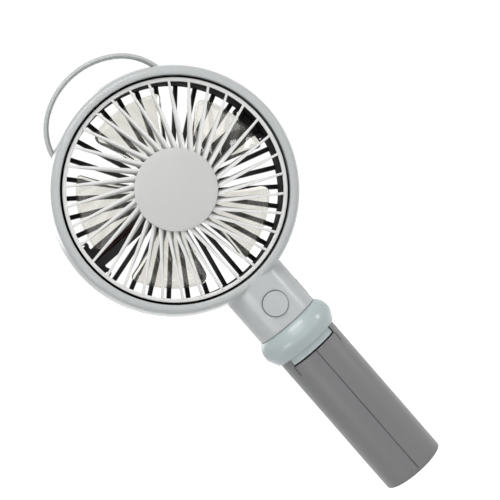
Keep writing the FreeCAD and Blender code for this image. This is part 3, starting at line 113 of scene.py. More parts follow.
room = bpy.data.worlds.new("room")
bpy.context.scene.world = room
room.use_nodes = True
tree = room.node_tree
tree.nodes.clear()
dim_room = tree.nodes.new("ShaderNodeBackground")
dim_room.inputs["Color"].default_value = (0.96, 0.985, 1.0, 1)
dim_room.inputs["Strength"].default_value = 0.27
white_room = tree.nodes.new("ShaderNodeBackground")
white_room.inputs["Color"].default_value = (1, 1, 1, 1)
white_room.inputs["Strength"].default_value = 1.0
choice = tree.nodes.new("ShaderNodeMixShader")
tree.links.new(background_rays(tree), choice.inputs[0])
tree.links.new(dim_room.outputs[0], choice.inputs[1])
tree.links.new(white_room.outputs[0], choice.inputs[2])
world_out = tree.nodes.new("ShaderNodeOutputWorld")
tree.links.new(choice.outputs[0], world_out.inputs["Surface"])


# Floor: a sheet of pale paper that the grip stands on. It keeps the fan's shadow, and its glow
# makes it white elsewhere.
floor_radius, floor_glow = 3.0, 0.82
mesh = bpy.data.meshes.new("floor")
shaper = bmesh.new()
bmesh.ops.create_circle(shaper, cap_ends=True, radius=floor_radius, segments=96)
shaper.to_mesh(mesh)
shaper.free()
floor = bpy.data.objects.new("floor", mesh)
bpy.context.scene.collection.objects.link(floor)
paper = bpy.data.materials.new("floor_paper")
paper.use_nodes = True
tree = paper.node_tree
tree.nodes.clear()
matt = tree.nodes.new("ShaderNodeBsdfDiffuse")
matt.inputs["Color"].default_value = (0.8, 0.8, 0.8, 1)
glow = tree.nodes.new("ShaderNodeEmission")
feed(tree, calculate(tree, "MULTIPLY", background_rays(tree), floor_glow), glow.inputs["Strength"])
both = tree.nodes.new("ShaderNodeAddShader")
tree.links.new(matt.outputs[0], both.inputs[0])
tree.links.new(glow.outputs[0], both.inputs[1])
out = tree.nodes.new("ShaderNodeOutputMaterial")
tree.links.new(both.outputs[0], out.inputs["Surface"])
floor.data.materials.append(paper)


# Head shells: the front bezel and the rear housing are moulded in grey plastic with a satin
# spark-eroded face. The melt leaves slow cloudy changes of shade, and handling polishes patches.
clouds_per_metre, patches_per_metre, plastic_relief, plastic_samples = 38.0, 140.0, 0.35, 8
bezel_rounding = 0.0014


def effect_group(name, *inputs):
    """A node group with named inputs, and a colour, a roughness and a height as its outputs."""
    group = bpy.data.node_groups.new(name, "ShaderNodeTree")
    for label, value in inputs:
        kind = "NodeSocketFloat" if isinstance(value, float) else "NodeSocketColor"
        socket = group.interface.new_socket(label, in_out="INPUT", socket_type=kind)
        socket.default_value = value
    for label, kind in (("Colour", "NodeSocketColor"), ("Roughness", "NodeSocketFloat"),
                        ("Height", "NodeSocketFloat")):
        group.interface.new_socket(label, in_out="OUTPUT", socket_type=kind)
    given, made = group.nodes.new("NodeGroupInput"), group.nodes.new("NodeGroupOutput")
    return group, given.outputs, made.inputs


def noise(group, place, scale, detail=2.0):
    """An uneven pattern from 0 to 1, with about as many spots to the metre as its scale."""
    pattern = group.nodes.new("ShaderNodeTexNoise")
    pattern.inputs["Detail"].default_value = detail
    feed(group, place, pattern.inputs["Vector"])
    feed(group, scale, pattern.inputs["Scale"])
    return pattern.outputs["Fac"]


def spread(group, pattern, low, high):
    """A pattern that ran from 0 to 1, from low to high instead."""
    wider = group.nodes.new("ShaderNodeMapRange")
    wider.inputs["To Min"].default_value = low
    wider.inputs["To Max"].default_value = high
    feed(group, pattern, wider.inputs["Value"])
    return wider.outputs[0]


def tinted(group, colour, shade):
    """A colour made lighter or darker by a shade that lies round 1."""
    product = group.nodes.new("ShaderNodeVectorMath")
    product.operation = "SCALE"
    feed(group, colour, product.inputs[0])
    feed(group, shade, product.inputs["Scale"])
    return product.outputs[0]


def uneven(group, pattern, change, middle):
    """A value that follows a pattern up and down from its middle."""
    centred = calculate(group, "SUBTRACT", pattern, 0.5)
    return calculate(group, "MULTIPLY_ADD", centred, change, middle)


def moulded_effect():
    group, given, made = effect_group(
        "moulded", ("Colour", (0.5, 0.5, 0.5, 1)), ("Cloud", 0.06), ("Rough", 0.4),
        ("Rough Change", 0.08), ("Grain Size", 0.0003))
    place = group.nodes.new("ShaderNodeTexCoord").outputs["Object"]
    cloud = spread(group, noise(group, place, clouds_per_metre, 3.0), -1.0, 1.0)
    shade = calculate(group, "MULTIPLY_ADD", cloud, given["Cloud"], 1.0)
    handled = noise(group, place, patches_per_metre, 4.0)
    grain = noise(group, place, calculate(group, "DIVIDE", 1.0, given["Grain Size"]))
    feed(group, tinted(group, given["Colour"], shade), made["Colour"])
    feed(group, uneven(group, handled, given["Rough Change"], given["Rough"]), made["Roughness"])
    feed(group, grain, made["Height"])
    return group


def effect_material(name, group, values):
    """A material that takes its colour and roughness from an effect with its own values."""
    material = bpy.data.materials.new(name)
    material.use_nodes = True
    tree = material.node_tree
    surface = tree.nodes["Principled BSDF"]
    effect = tree.nodes.new("ShaderNodeGroup")
    effect.node_tree = group
    for label, value in values.items():
        effect.inputs[label].default_value = value
    feed(tree, effect.outputs["Colour"], surface.inputs["Base Color"])
    feed(tree, effect.outputs["Roughness"], surface.inputs["Roughness"])
    return material, surface, effect


def add_relief(tree, surface, effect, strength, height, edge, samples):
    """Bump from the effect's height, on corners that look rounded by edge, in metres."""
    bump = tree.nodes.new("ShaderNodeBump")
    bump.inputs["Strength"].default_value = strength
    bump.inputs["Distance"].default_value = height
    if edge:
        rounded = tree.nodes.new("ShaderNodeBevel")
        rounded.samples = samples
        rounded.inputs["Radius"].default_value = edge
        feed(tree, rounded.outputs["Normal"], bump.inputs["Normal"])
    feed(tree, effect.outputs["Height"], bump.inputs["Height"])
    feed(tree, bump.outputs["Normal"], surface.inputs["Normal"])


moulded = moulded_effect()


def moulded_plastic(name, colour, rough, cloud=0.05, change=0.12, grain=0.0003, height=0.00001,
                    edge=0.00025, shine=0.5):
    """Cloud and change say how far shade and roughness wander. Grain and height are the size of
    the face's texture and edge the rounding of its corners, in metres."""
    material, surface, effect = effect_material(name, moulded, {
        "Colour": (*colour, 1), "Cloud": cloud, "Rough": rough, "Rough Change": change,
        "Grain Size": grain})
    surface.inputs["Specular IOR Level"].default_value = shine
    add_relief(material.node_tree, surface, effect, plastic_relief, height, edge, plastic_samples)
    return material


def dress(material, *names):
    """Give a material to the nodes whose CAD mesh stays."""
    for name in names:
        nodes[name].data.materials.clear()
        nodes[name].data.materials.append(material)


grey = moulded_plastic("grey_plastic", (0.43, 0.45, 0.448), 0.24, change=0.06)
dress(grey, "rear_housing")
bezel_grey = moulded_plastic("bezel_plastic", (0.43, 0.445, 0.443), 0.24, change=0.06,
                             edge=bezel_rounding)
dress(bezel_grey, "front_bezel")


# Front grille: one moulding in paler plastic. A flat ring carries 34 swirl vanes, each twisted
# from the boss to the ring, and the boss in the middle holds the plain disc.
grille_low, grille_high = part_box("front_grille")
fan_axis = Vector((0.0, -1.0, 0.0))
hub_centre = Vector((0.0, 0.0, (grille_low.z + grille_high.z) / 2))
merge_distance, smooth_angle = 1e-6, 40
ring_outer = (grille_high.x - grille_low.x) / 2
ring_inner, ring_front, ring_back, ring_edge = ring_outer - 0.0017, 0.013, 0.0113, 0.0004
boss_radius, boss_front, boss_back = 0.0176, -grille_low.y, 0.0114
boss_wall, boss_skin, boss_edge = 0.0017, 0.0016, 0.0003
vane_count, vane_start, vane_miss, vane_cuts = 34, math.radians(8.92), 0.0075, 5
vane_root, vane_tip, vane_depth, vane_edge = 0.0148, ring_inner - 0.00035, 0.0036, 0.00028
vane_front_width, vane_rear_width, vane_root_gain = 0.0011, 0.0009, 0.0004
vane_tip_lean, vane_root_lean, vane_step = -0.0002, 0.0015, 0.0002


def new_piece(name, body, material, shaper):
    mesh = bpy.data.meshes.new(name)
    shaper.to_mesh(mesh)
    shaper.free()
    piece = bpy.data.objects.new(name, mesh)
    bpy.context.scene.collection.objects.link(piece)
    mesh.materials.append(material)
    mesh.shade_smooth()
    mesh.set_sharp_from_angle(angle=math.radians(smooth_angle))
    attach(piece, body)
    return piece


def whole(shaper):
    return shaper.verts[:] + shaper.edges[:] + shaper.faces[:]


def sharp_edges(shaper, angle=30.0):
    return [edge for edge in shaper.edges
            if len(edge.link_faces) == 2 and edge.calc_face_angle(0.0) > math.radians(angle)]


def lengthwise(edges, least):
    """The edges that run along a bar for at least a given length."""
    return [edge for edge in edges if abs(edge.verts[0].co.x - edge.verts[1].co.x) > least]


def round_edges(shaper, edges, size, segments=3):
    bmesh.ops.bevel(shaper, geom=edges, offset=size, offset_type="OFFSET", segments=segments,
                    profile=0.5, affect="EDGES", clamp_overlap=True, material=-1)


def turned(corners, centre, axis=fan_axis, rounding=0.0, steps=128):
    """An outline of (radius, distance along the axis) turned into a closed ring or disc."""
    shaper = bmesh.new()
    side = axis.orthogonal().normalized()
    spots = [shaper.verts.new(centre + side * radius + axis * along) for radius, along in corners]
    edges = [shaper.edges.new(pair) for pair in zip(spots, spots[1:] + spots[:1])]
    bmesh.ops.spin(shaper, geom=spots + edges, cent=centre, axis=axis, dvec=(0, 0, 0),
                   angle=math.tau, steps=steps, use_merge=True)
    bmesh.ops.remove_doubles(shaper, verts=shaper.verts, dist=merge_distance)
    loose = [edge for edge in shaper.edges if not edge.link_faces]
    bmesh.ops.delete(shaper, geom=loose, context="EDGES")
    bmesh.ops.recalc_face_normals(shaper, faces=shaper.faces)
    if rounding:
        round_edges(shaper, sharp_edges(shaper), rounding)
    return shaper


def turn_about(shaper, turn, copies=1, step=0.0):
    """Turn a shape about the fan's axis, move it to the head and repeat it round the axis."""
    bmesh.ops.rotate(shaper, verts=shaper.verts, cent=(0, 0, 0),
                     matrix=Matrix.Rotation(-turn, 3, "Y"))
    bmesh.ops.translate(shaper, verts=shaper.verts, vec=hub_centre)
    if copies > 1:
        bmesh.ops.spin(shaper, geom=whole(shaper), cent=hub_centre, axis=fan_axis,
                       dvec=(0, 0, 0), angle=step * (copies - 1), steps=copies - 1,
                       use_duplicate=True)
    return shaper


def joined(*shapers):
    """One bmesh from several."""
    together = bmesh.new()
    for shaper in shapers:
        part = bpy.data.meshes.new("part")
        shaper.to_mesh(part)
        shaper.free()
        together.from_mesh(part)
        bpy.data.meshes.remove(part)
    return together


def swirl_vanes():
    """A bar from the boss to the ring whose rear edge swings over from one side to the other."""
    shaper = bmesh.new()
    bmesh.ops.create_cube(shaper, size=1.0)
    for vert in shaper.verts:
        at_ring, behind, side = vert.co.x > 0, vert.co.y > 0, math.copysign(0.5, vert.co.z)
        width = vane_rear_width if behind else vane_front_width
        width += 0.0 if at_ring else vane_root_gain
        lean = (vane_tip_lean if at_ring else vane_root_lean) if behind else 0.0
        front = ring_front + vane_step if at_ring else boss_front - vane_step
        vert.co = Vector((vane_tip if at_ring else vane_root,
                          -front + (vane_depth if behind else 0.0),
                          -vane_miss + lean + side * width))
    half_length = (vane_tip - vane_root) / 2
    bmesh.ops.subdivide_edges(shaper, edges=lengthwise(shaper.edges, half_length), cuts=vane_cuts)
    corners = lengthwise(sharp_edges(shaper), half_length / (vane_cuts + 1))
    round_edges(shaper, corners, vane_edge, segments=2)
    return turn_about(shaper, vane_start, vane_count, math.tau / vane_count)


ring = turned(((ring_inner, ring_back), (ring_outer, ring_back), (ring_outer, ring_front),
               (ring_inner, ring_front)), hub_centre, rounding=ring_edge)
boss = turned(((0.0, boss_front), (boss_radius, boss_front), (boss_radius, boss_back),
               (boss_radius - boss_wall, boss_back),
               (boss_radius - boss_wall, boss_front - boss_skin),
               (0.0, boss_front - boss_skin)), hub_centre, rounding=boss_edge)
pale = moulded_plastic("pale_plastic", (0.66, 0.66, 0.645), 0.4, edge=0.0, shine=0.3)
swirl_grille = new_piece("swirl_grille", "head", pale,
                         joined(ring, boss, swirl_vanes()))
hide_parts("front_grille")


# Disc: a plain cap in a slightly darker cut of the pale plastic, pressed onto the boss. Its face
# is a shallow dome with a rounded rim.
disc_low, disc_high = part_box("hub_cap")
disc_radius, disc_crown, disc_rounding = (disc_high.x - disc_low.x) / 2, 0.0009, 0.0003
disc_edge, dome_steps = -disc_low.y - disc_crown, 8
dome = [(disc_radius * step / dome_steps, disc_edge + disc_crown * (1 - (step / dome_steps) ** 2))
        for step in range(dome_steps + 1)]
disc_shape = turned([(0.0, boss_front), *dome, (disc_radius, boss_front)], hub_centre)
rim = [edge for edge in sharp_edges(disc_shape) if edge.calc_length() < disc_radius / dome_steps]
round_edges(disc_shape, rim, disc_rounding)
disc = moulded_plastic("disc_plastic", (0.49, 0.49, 0.48), 0.4, cloud=0.03)
plain_disc = new_piece("plain_disc", "head", disc, disc_shape)
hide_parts("hub_cap")


# Rear grille: one moulding in matt near-black plastic with the air duct, the cup that holds the
# motor, 30 straight spokes and two wide arms. Its near-black is partly the plastic's own colour
# and partly painted shade, and the duct's matt inside is painted darker still as painted shade.
# Each arm ends in a foot between two pin bosses, and the arm on the left has a channel for the
# motor's leads.
duct_front, duct_rear, duct_inside, duct_mouth, duct_wall = 0.0113, -0.017, 0.0473, 0.0479, 0.0012
flange_front, flange_rear, flange_width = -0.01395, -0.01535, 0.0008
mouth_outside, duct_middle = duct_mouth + duct_wall, duct_mouth + duct_wall / 2
flange_outside = mouth_outside + flange_width
cup_bore, cup_wall, cup_front, cup_rear = 0.01225, 0.0015, -0.002, -0.0168
cup_outside, cup_middle = cup_bore + cup_wall, cup_bore + cup_wall / 2
cup_floor = cup_rear + cup_wall
can_seat, seat_thickness, end_cap_radius = -0.0079, 0.0012, 0.0095
spoke_slots, spoke_first, spoke_width, spoke_depth = 34, math.radians(4.7), 0.0023, 0.0024
spokes_a_side, spoke_draft, spoke_step = 15, 0.00015, math.tau / spoke_slots
arm_width, arm_depth, channel_width, channel_depth = 0.0096, 0.006, 0.0018, 0.0018
channel_end, face_step, guard_edge = 0.0006, 0.00005, 0.0003
foot_inside, foot_width, foot_drop = 0.0440, 0.0150, 0.0015
pin_radius, pin_bore, pin_place = 0.0023, 0.0007, 0.0457


def pressed(shaper, faces, push):
    """Press faces into a solid, and give the corners of the floor that they leave there."""
    moved = bmesh.ops.extrude_face_region(shaper, geom=faces)["geom"]
    corners = [part for part in moved if isinstance(part, bmesh.types.BMVert)]
    bmesh.ops.translate(shaper, verts=corners, vec=push)
    bmesh.ops.delete(shaper, geom=faces, context="FACES")
    return corners


def bar(low, high, draft=0.0, channel=False):
    """A block beside the hub's centre, whose draft makes its front narrower to free it from the
    mould. Its edges are rounded, or it has a channel along its front."""
    shaper = bmesh.new()
    bmesh.ops.create_cube(shaper, size=1.0)
    for vert in shaper.verts:
        inward = -math.copysign(draft, vert.co.z) if vert.co.y < 0 else 0.0
        vert.co = Vector([far if part > 0 else near
                          for part, near, far in zip(vert.co, low, high)])
        vert.co.z += inward
    if not channel:
        round_edges(shaper, shaper.edges[:], guard_edge, segments=2)
        return shaper
    for spot, direction in (((0, 0, channel_width / 2), (0, 0, 1)),
                            ((0, 0, -channel_width / 2), (0, 0, 1)),
                            ((low[0] + channel_end, 0, 0), (1, 0, 0)),
                            ((high[0] - channel_end, 0, 0), (1, 0, 0))):
        bmesh.ops.bisect_plane(shaper, geom=whole(shaper), plane_co=spot, plane_no=direction)
    middle = Vector(((low[0] + high[0]) / 2, low[1], 0))
    strip = [face for face in shaper.faces if face.normal.y < -0.9 and
             (face.calc_center_median() - middle).length < channel_width / 2]
    pressed(shaper, strip, (0, channel_depth, 0))
    return shaper


def side_spokes(half):
    spoke = bar((cup_middle, -cup_rear - spoke_depth, -spoke_width / 2),
                (duct_middle, -cup_rear, spoke_width / 2), draft=spoke_draft)
    return turn_about(spoke, half + spoke_first + spoke_step, spokes_a_side, spoke_step)


def guard_arm(turn, channel=False):
    arm = bar((cup_middle, -cup_rear - arm_depth, -arm_width / 2),
              (duct_middle, -cup_rear + face_step, arm_width / 2), channel=channel)
    foot = bar((foot_inside, -cup_rear - arm_depth + foot_drop, -foot_width / 2),
               (duct_middle, -cup_rear - face_step, foot_width / 2))
    pin_front, pin_rear = cup_rear + arm_depth, cup_rear + 2 * face_step
    pins = [turned(((pin_bore, pin_front), (pin_radius, pin_front), (pin_radius, pin_rear),
                    (pin_bore, pin_rear)), Vector((pin_place, 0, side * foot_width / 2)),
                   rounding=guard_edge, steps=32) for side in (1, -1)]
    return turn_about(joined(arm, foot, *pins), turn)


duct = turned(((duct_inside, duct_front), (duct_inside + duct_wall, duct_front),
               (mouth_outside, flange_front), (flange_outside, flange_front),
               (flange_outside, flange_rear), (mouth_outside, flange_rear),
               (mouth_outside, duct_rear), (duct_mouth, duct_rear)),
              hub_centre, rounding=guard_edge)
cup = turned(((cup_bore, cup_front), (cup_outside, cup_front), (cup_outside, cup_rear),
              (0.0, cup_rear), (0.0, cup_floor), (cup_bore, cup_floor),
              (cup_bore, can_seat - seat_thickness), (end_cap_radius, can_seat - seat_thickness),
              (end_cap_radius, can_seat), (cup_bore, can_seat)),
             hub_centre, rounding=guard_edge)
# The duct takes the second material, an almost black that is painted shade of its inside.
for face in duct.faces:
    face.material_index = 1
# The near-black of the spokes, cup and arms is partly their own colour and partly painted shade.
dark = moulded_plastic("dark_plastic", (0.028, 0.028, 0.029), 0.45, edge=0.0, shine=0.3)
duct_painted_shade = moulded_plastic("duct_painted_shade_plastic", (0.02, 0.02, 0.021), 0.8, edge=0.0, shine=0.03)
spoked_grille = new_piece("spoked_grille", "head", dark,
                          joined(duct, cup, side_spokes(0.0), side_spokes(math.pi),
                                 guard_arm(0.0), guard_arm(math.pi, channel=True)))
spoked_grille.data.materials.append(duct_painted_shade)
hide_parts("rear_grille")


# Motor: a drawn steel can with a pressed shaft and a plastic end cap. Drawing leaves fine streaks
# along the can, and the tin plating has a cloudy shine.
streaks_per_metre, plating_clouds = (3000.0, 150.0, 3000.0), 200.0
streak_change, metal_relief, streak_height, metal_edge, metal_samples = 0.15, 0.5, 4e-6, 0.0002, 6


def drawn_metal_effect():
    group, given, made = effect_group(
        "drawn_metal", ("Colour", (0.6, 0.6, 0.6, 1)), ("Rough", 0.3), ("Streak", 0.1))
    place = group.nodes.new("ShaderNodeTexCoord").outputs["Object"]
    stretched = group.nodes.new("ShaderNodeMapping")
    stretched.inputs["Scale"].default_value = streaks_per_metre
    feed(group, place, stretched.inputs["Vector"])
    streaks = noise(group, stretched.outputs[0], 1.0, 3.0)
    shade = spread(group, noise(group, place, plating_clouds), 0.85, 1.1)
    feed(group, tinted(group, given["Colour"], shade), made["Colour"])
    feed(group, uneven(group, streaks, given["Streak"], given["Rough"]), made["Roughness"])
    feed(group, streaks, made["Height"])
    return group


drawn_metal = drawn_metal_effect()


def metal(name, colour, rough):
    material, surface, effect = effect_material(name, drawn_metal, {
        "Colour": (*colour, 1), "Rough": rough, "Streak": streak_change})
    surface.inputs["Metallic"].default_value = 1.0
    add_relief(material.node_tree, surface, effect, metal_relief, streak_height, metal_edge,
               metal_samples)
    return material


steel = metal("plated_steel", (0.6, 0.6, 0.59), 0.32)
dress(steel, "motor_can", "motor_shaft")
motor_end = moulded_plastic("motor_end_plastic", (0.03, 0.03, 0.032), 0.5)
dress(motor_end, "motor_end_cap")


# Impeller: a hub and five cambered blades, moulded in one piece from clear plastic that has
# yellowed slightly. It is pushed onto the motor's shaft.
hub_radius, hub_inside, hub_front, hub_ceiling, hub_rear = 0.0153, 0.0142, 0.0096, 0.0085, -0.003
sleeve_radius, sleeve_rear, shaft_bore, bore_end = 0.0032, 0.0061, 0.00103, 0.00895
blade_root, blade_tip, blade_first, blade_count = 0.0148, 0.0427, math.radians(10.8), 5
tip_turn, root_turn, camber_turn = math.radians(24.8), math.radians(19.0), math.radians(23.25)
blade_middle, blade_rise, blade_belly, blade_thickness = 0.0024, 0.0046, 0.0018, 0.001
front_corner, rear_corner, impeller_edge, blade_strips, blade_bands = 0.0022, 0.005, 0.0003, 18, 8


def cambered_blades():
    """A flat outline with its two tip corners rounded, cut into strips, bent to the blade's
    camber, given its wall and repeated round the hub."""
    shaper = bmesh.new()
    span, reach_out = tip_turn * blade_tip, blade_tip - blade_root
    outline = [shaper.verts.new((reach, side * span, 0)) for reach, side in (
        (blade_root, -1), (blade_tip, -1), (blade_tip, 1), (blade_root, 1))]
    shaper.faces.new(outline)
    for corner, size in ((outline[1], front_corner), (outline[2], rear_corner)):
        bmesh.ops.bevel(shaper, geom=[corner], offset=size, offset_type="OFFSET", segments=8,
                        profile=0.5, affect="VERTICES", clamp_overlap=True, material=-1)
    cuts = [((0, span * (2 * step / blade_strips - 1), 0), (0, 1, 0))
            for step in range(1, blade_strips)]
    cuts += [((blade_root + reach_out * step / blade_bands, 0, 0), (1, 0, 0))
             for step in range(1, blade_bands)]
    for spot, direction in cuts:
        bmesh.ops.bisect_plane(shaper, geom=whole(shaper), plane_co=spot, plane_no=direction)
    for vert in shaper.verts:
        reach, share = vert.co.x, (vert.co.x - blade_root) / reach_out
        turn = vert.co.y / span * (root_turn + (tip_turn - root_turn) * share)
        along = math.tan(turn) / math.tan(camber_turn)
        belly = blade_belly * reach / blade_tip * (1 - along ** 2)
        vert.co = Vector((reach * math.cos(turn), blade_rise * along - blade_middle + belly,
                          reach * math.sin(turn)))
    bmesh.ops.recalc_face_normals(shaper, faces=shaper.faces)
    bmesh.ops.solidify(shaper, geom=shaper.faces[:], thickness=blade_thickness)
    bmesh.ops.recalc_face_normals(shaper, faces=shaper.faces)
    round_edges(shaper, sharp_edges(shaper, 45.0), impeller_edge, segments=2)
    return turn_about(shaper, blade_first, blade_count, math.tau / blade_count)


rotor_hub = turned(((0.0, hub_front), (hub_radius, hub_front), (hub_radius, hub_rear),
                    (hub_inside, hub_rear), (hub_inside, hub_ceiling),
                    (sleeve_radius, hub_ceiling), (sleeve_radius, sleeve_rear),
                    (shaft_bore, sleeve_rear), (shaft_bore, bore_end), (0.0, bore_end)),
                   hub_centre, rounding=impeller_edge)
clear, clear_surface, _ = effect_material("clear_plastic", moulded, {
    "Colour": (0.78, 0.765, 0.71, 1), "Cloud": 0.03, "Rough": 0.03, "Rough Change": 0.02})
clear_surface.inputs["Transmission Weight"].default_value = 0.95
clear_surface.inputs["IOR"].default_value = 1.49
clear_impeller = new_piece("clear_impeller", "impeller", clear,
                           joined(rotor_hub, cambered_blades()))
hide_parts("impeller")


# Hanging loop: a springy oval wire of grey plastic. Its wide feet snap into the seam between the
# two shells of the head.
loop_top, crown_radius, side_radius = 0.06819, 0.03619, 0.0261
crown_turn, foot_turn, foot_length = math.radians(33.0), math.radians(85.0), 0.0013
wire_half_width, wire_half_depth, foot_half_depth = 0.0012, 0.0023, 0.0035
wire_sides, side_steps, crown_steps = 20, 18, 26


def oval_wire():
    """The wire's section swept up one side, over the crown and down the other side, and pulled
    out at both ends into a wide foot."""
    shaper = bmesh.new()
    bmesh.ops.create_circle(shaper, segments=wire_sides, radius=1.0)
    crown_centre = hub_centre + Vector((0, 0, loop_top - crown_radius))
    lean = Vector((math.sin(crown_turn), 0, math.cos(crown_turn))) * (crown_radius - side_radius)
    right_centre, left_centre = crown_centre + lean, crown_centre + lean * Vector((-1, 0, 1))
    outward = Vector((math.sin(foot_turn), 0, math.cos(foot_turn)))
    for vert in shaper.verts:
        reach = side_radius - wire_half_width + vert.co.x * wire_half_width
        vert.co = right_centre + outward * reach + Vector((0, vert.co.y * wire_half_depth, 0))
    section, side_turn = shaper.verts[:] + shaper.edges[:], foot_turn - crown_turn
    for centre, turn, steps in ((right_centre, side_turn, side_steps),
                                (crown_centre, 2 * crown_turn, crown_steps),
                                (left_centre, side_turn, side_steps)):
        section = bmesh.ops.spin(shaper, geom=section, cent=centre, axis=fan_axis,
                                 dvec=(0, 0, 0), angle=turn, steps=steps)["geom_last"]
    for side in (1, -1):
        inward = Vector((side * math.cos(foot_turn), 0, -math.sin(foot_turn)))
        for widening, push in ((foot_half_depth / wire_half_depth, 0.0), (1.0, foot_length)):
            end = [edge for edge in shaper.edges
                   if len(edge.link_faces) == 1 and edge.verts[0].co.x * side > 0]
            pulled = bmesh.ops.extrude_edge_only(shaper, edges=end)["geom"]
            verts = [part for part in pulled if isinstance(part, bmesh.types.BMVert)]
            bmesh.ops.scale(shaper, verts=verts, vec=(1, widening, 1))
            bmesh.ops.translate(shaper, verts=verts, vec=inward * push)
    bmesh.ops.holes_fill(shaper,
                         edges=[edge for edge in shaper.edges if len(edge.link_faces) == 1])
    bmesh.ops.recalc_face_normals(shaper, faces=shaper.faces)
    return shaper


loop_grey = moulded_plastic("loop_plastic", (0.42, 0.43, 0.43), 0.3, change=0.06, edge=0.0)
wire_loop = new_piece("wire_loop", "head", loop_grey, oval_wire())
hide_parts("hanging_loop")


# Hinge: the flared collar with its tongue turns on a steel pin between two nylon washers. The
# tongue's flat top ends at the flare all round, so that no corner of it stands out.
plate_middle, plate_half_height, plate_reach, collar_sharp = 0.07385, 0.00006, 0.01605, 18


def flared_collar():
    """A merged copy of the collar's CAD mesh, with the corners of the flat top drawn in."""
    shaper = bmesh.new()
    shaper.from_mesh(nodes["hinge_collar"].data)
    bmesh.ops.remove_doubles(shaper, verts=shaper.verts, dist=merge_distance)
    for vert in shaper.verts:
        reach = math.hypot(vert.co.x, vert.co.y)
        if reach > plate_reach and abs(vert.co.z - plate_middle) < plate_half_height:
            vert.co *= Vector((plate_reach / reach, plate_reach / reach, 1.0))
    bmesh.ops.dissolve_degenerate(shaper, edges=shaper.edges[:], dist=merge_distance)
    return shaper


collar_grey = moulded_plastic("collar_plastic", (0.38, 0.435, 0.44), 0.22)
smooth_collar = new_piece("smooth_collar", "head", collar_grey, flared_collar())
smooth_collar.data.attributes.remove(smooth_collar.data.attributes["custom_normal"])
smooth_collar.data.set_sharp_from_angle(angle=math.radians(collar_sharp))
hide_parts("hinge_collar")
dress(steel, "hinge_pin")
nylon = moulded_plastic("washer_nylon", (0.7, 0.7, 0.65), 0.5, cloud=0.08)
dress(nylon, "friction_washers")


# Grip: two charcoal half shells with a slightly rubbery satin face, and the cap that closes
# the lower end. Their charcoal is the plastic's own colour, set a little darker as painted
# shade of a holding hand's shadow.
charcoal = moulded_plastic("charcoal_plastic", (0.145, 0.145, 0.148), 0.36, cloud=0.07)
dress(charcoal, "grip_left_shell", "grip_right_shell", "end_cap")


# Battery: a round cell in a blue shrink sleeve. It lies on a foam pad in the grip, and nickel
# tabs are spot-welded to its ends.
sleeve = moulded_plastic("cell_sleeve", (0.06, 0.15, 0.36), 0.3, cloud=0.04, grain=0.0008)
dress(sleeve, "battery_cell")
foam = moulded_plastic("foam", (0.04, 0.04, 0.04), 0.9, cloud=0.2, grain=0.0005, height=0.0001,
                       shine=0.2)
dress(foam, "battery_pad")
nickel = metal("nickel", (0.62, 0.59, 0.53), 0.28)
dress(nickel, "battery_tabs")


# Electronics: a lacquered board carries the tactile switch and the charging socket, and the
# grey button sits in the neck in front of the switch.
board = moulded_plastic("board_lacquer", (0.02, 0.12, 0.05), 0.28, cloud=0.15, grain=0.0006)
dress(board, "control_board")
dress(motor_end, "switch_body", "switch_plunger")
dress(nickel, "charging_socket")
dress(grey, "power_button")


# Screws: plated steel with a pan head, a cross recess and a coarse thread that cuts its own way
# into the plastic. Two hold the head's shells together, two the board and three the grip.
up, rearward, rightward = Vector((0, 0, 1)), Vector((0, 1, 0)), Vector((1, 0, 0))
head_rounding, cross_width, cross_reach, cross_depth, cross_taper = 0.35, 0.13, 0.62, 0.6, 0.8
core_size, thread_pitch, ridge_foot, ridge_half, thread_steps = 0.78, 0.8, 0.98, 0.3, 12
neck_overlap, screw_steps = 0.0001, 24


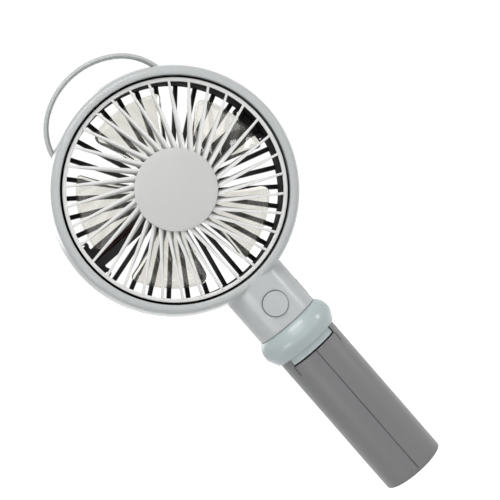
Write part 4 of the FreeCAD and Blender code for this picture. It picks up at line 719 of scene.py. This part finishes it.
def cross_screw(place, axis, head_radius, head_depth, radius, length):
    """A screw made along the Z axis, then turned to its own axis. Its place is the middle of the
    head's seat, and its proportions are shares of the head's radius and depth and the thread's
    radius and pitch."""
    head = turned(((0.0, head_depth), (head_radius, head_depth), (head_radius, 0.0), (0.0, 0.0)),
                  Vector(), up, rounding=head_depth * head_rounding, steps=screw_steps)
    width, reach = head_radius * cross_width, head_radius * cross_reach
    for limit in (-reach, -width, width, reach):
        for direction in (rightward, rearward):
            bmesh.ops.bisect_plane(head, geom=whole(head), plane_co=direction * limit,
                                   plane_no=direction)
    recess = []
    for face in head.faces:
        middle = face.calc_center_median()
        low, high = sorted((abs(middle.x), abs(middle.y)))
        on_top = face.normal.z > 0.9 and middle.z > head_depth * 0.99
        if on_top and low < width and high < reach:
            recess.append(face)
    recess_floor = pressed(head, recess, (0, 0, -head_depth * cross_depth))
    bmesh.ops.scale(head, verts=recess_floor, vec=(cross_taper, cross_taper, 1.0))
    core, pitch, point = radius * core_size, radius * thread_pitch, 2 * radius
    shank = turned(((0.0, neck_overlap), (core, neck_overlap), (core, point - length),
                    (0.0, -length)), Vector(), up, steps=screw_steps)
    thread = bmesh.new()
    foot = core * ridge_foot
    ridge = [thread.verts.new((reach, 0, height - 2 * pitch)) for reach, height in (
        (foot, ridge_half * pitch), (radius, 0.0), (foot, -ridge_half * pitch))]
    edges = [thread.edges.new(pair) for pair in zip(ridge, ridge[1:] + ridge[:1])]
    turns = int((length - point) / pitch) - 2
    bmesh.ops.spin(thread, geom=ridge + edges, cent=(0, 0, 0), axis=up,
                   dvec=(0, 0, -pitch / thread_steps), angle=math.tau * turns,
                   steps=thread_steps * turns)
    bmesh.ops.recalc_face_normals(thread, faces=thread.faces)
    screw = joined(head, shank, thread)
    bmesh.ops.rotate(screw, verts=screw.verts, cent=(0, 0, 0),
                     matrix=axis.to_track_quat("Z", "Y").to_matrix())
    bmesh.ops.translate(screw, verts=screw.verts, vec=place)
    return screw


def screw_set(name, node, body, places, *sizes):
    """Screws of one size in their places, which stand for a node."""
    piece = new_piece(name, body, steel,
                      joined(*[cross_screw(place, *sizes) for place in places]))
    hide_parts(node)


case_low, case_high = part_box("case_screws")
case_side, case_head, case_head_depth, case_radius = 0.0076, 0.0019, 0.0013, 0.001
case_height = (case_low.z + case_high.z) / 2
screw_set("case_cross_screws", "case_screws", "head",
          [Vector((side * case_side, case_high.y - case_head_depth, case_height))
           for side in (-1, 1)],
          rearward, case_head, case_head_depth, case_radius,
          case_high.y - case_low.y - case_head_depth)

board_low, board_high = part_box("board_screws")
board_side, board_head, board_head_depth, board_radius = 0.0084, 0.00125, 0.0009, 0.0007
board_height = (board_low.z + board_high.z) / 2
screw_set("board_cross_screws", "board_screws", "head",
          [Vector((side * board_side, board_high.y - board_head_depth, board_height))
           for side in (-1, 1)],
          rearward, board_head, board_head_depth, board_radius,
          board_high.y - board_low.y - board_head_depth)

grip_low, grip_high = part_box("grip_screws")
grip_head, grip_head_depth, grip_radius = 0.0016, 0.0012, 0.00085
grip_depth, grip_spread = (grip_low.y + grip_high.y) / 2, grip_high.z - grip_low.z - 2 * grip_head
screw_set("grip_cross_screws", "grip_screws", "grip",
          [Vector((grip_high.x - grip_head_depth, grip_depth,
                   grip_low.z + grip_head + step * grip_spread / 2)) for step in range(3)],
          rightward, grip_head, grip_head_depth, grip_radius,
          grip_high.x - grip_low.x - grip_head_depth)


# Leads: pairs of thin stranded wires in a smooth dark red vinyl sleeve. They run from the
# battery through the grip and the neck to the motor.
vinyl = moulded_plastic("lead_vinyl", (0.05, 0.011, 0.009), 0.45, cloud=0.04, shine=0.25)
dress(vinyl, "motor_leads", "neck_leads", "battery_leads")
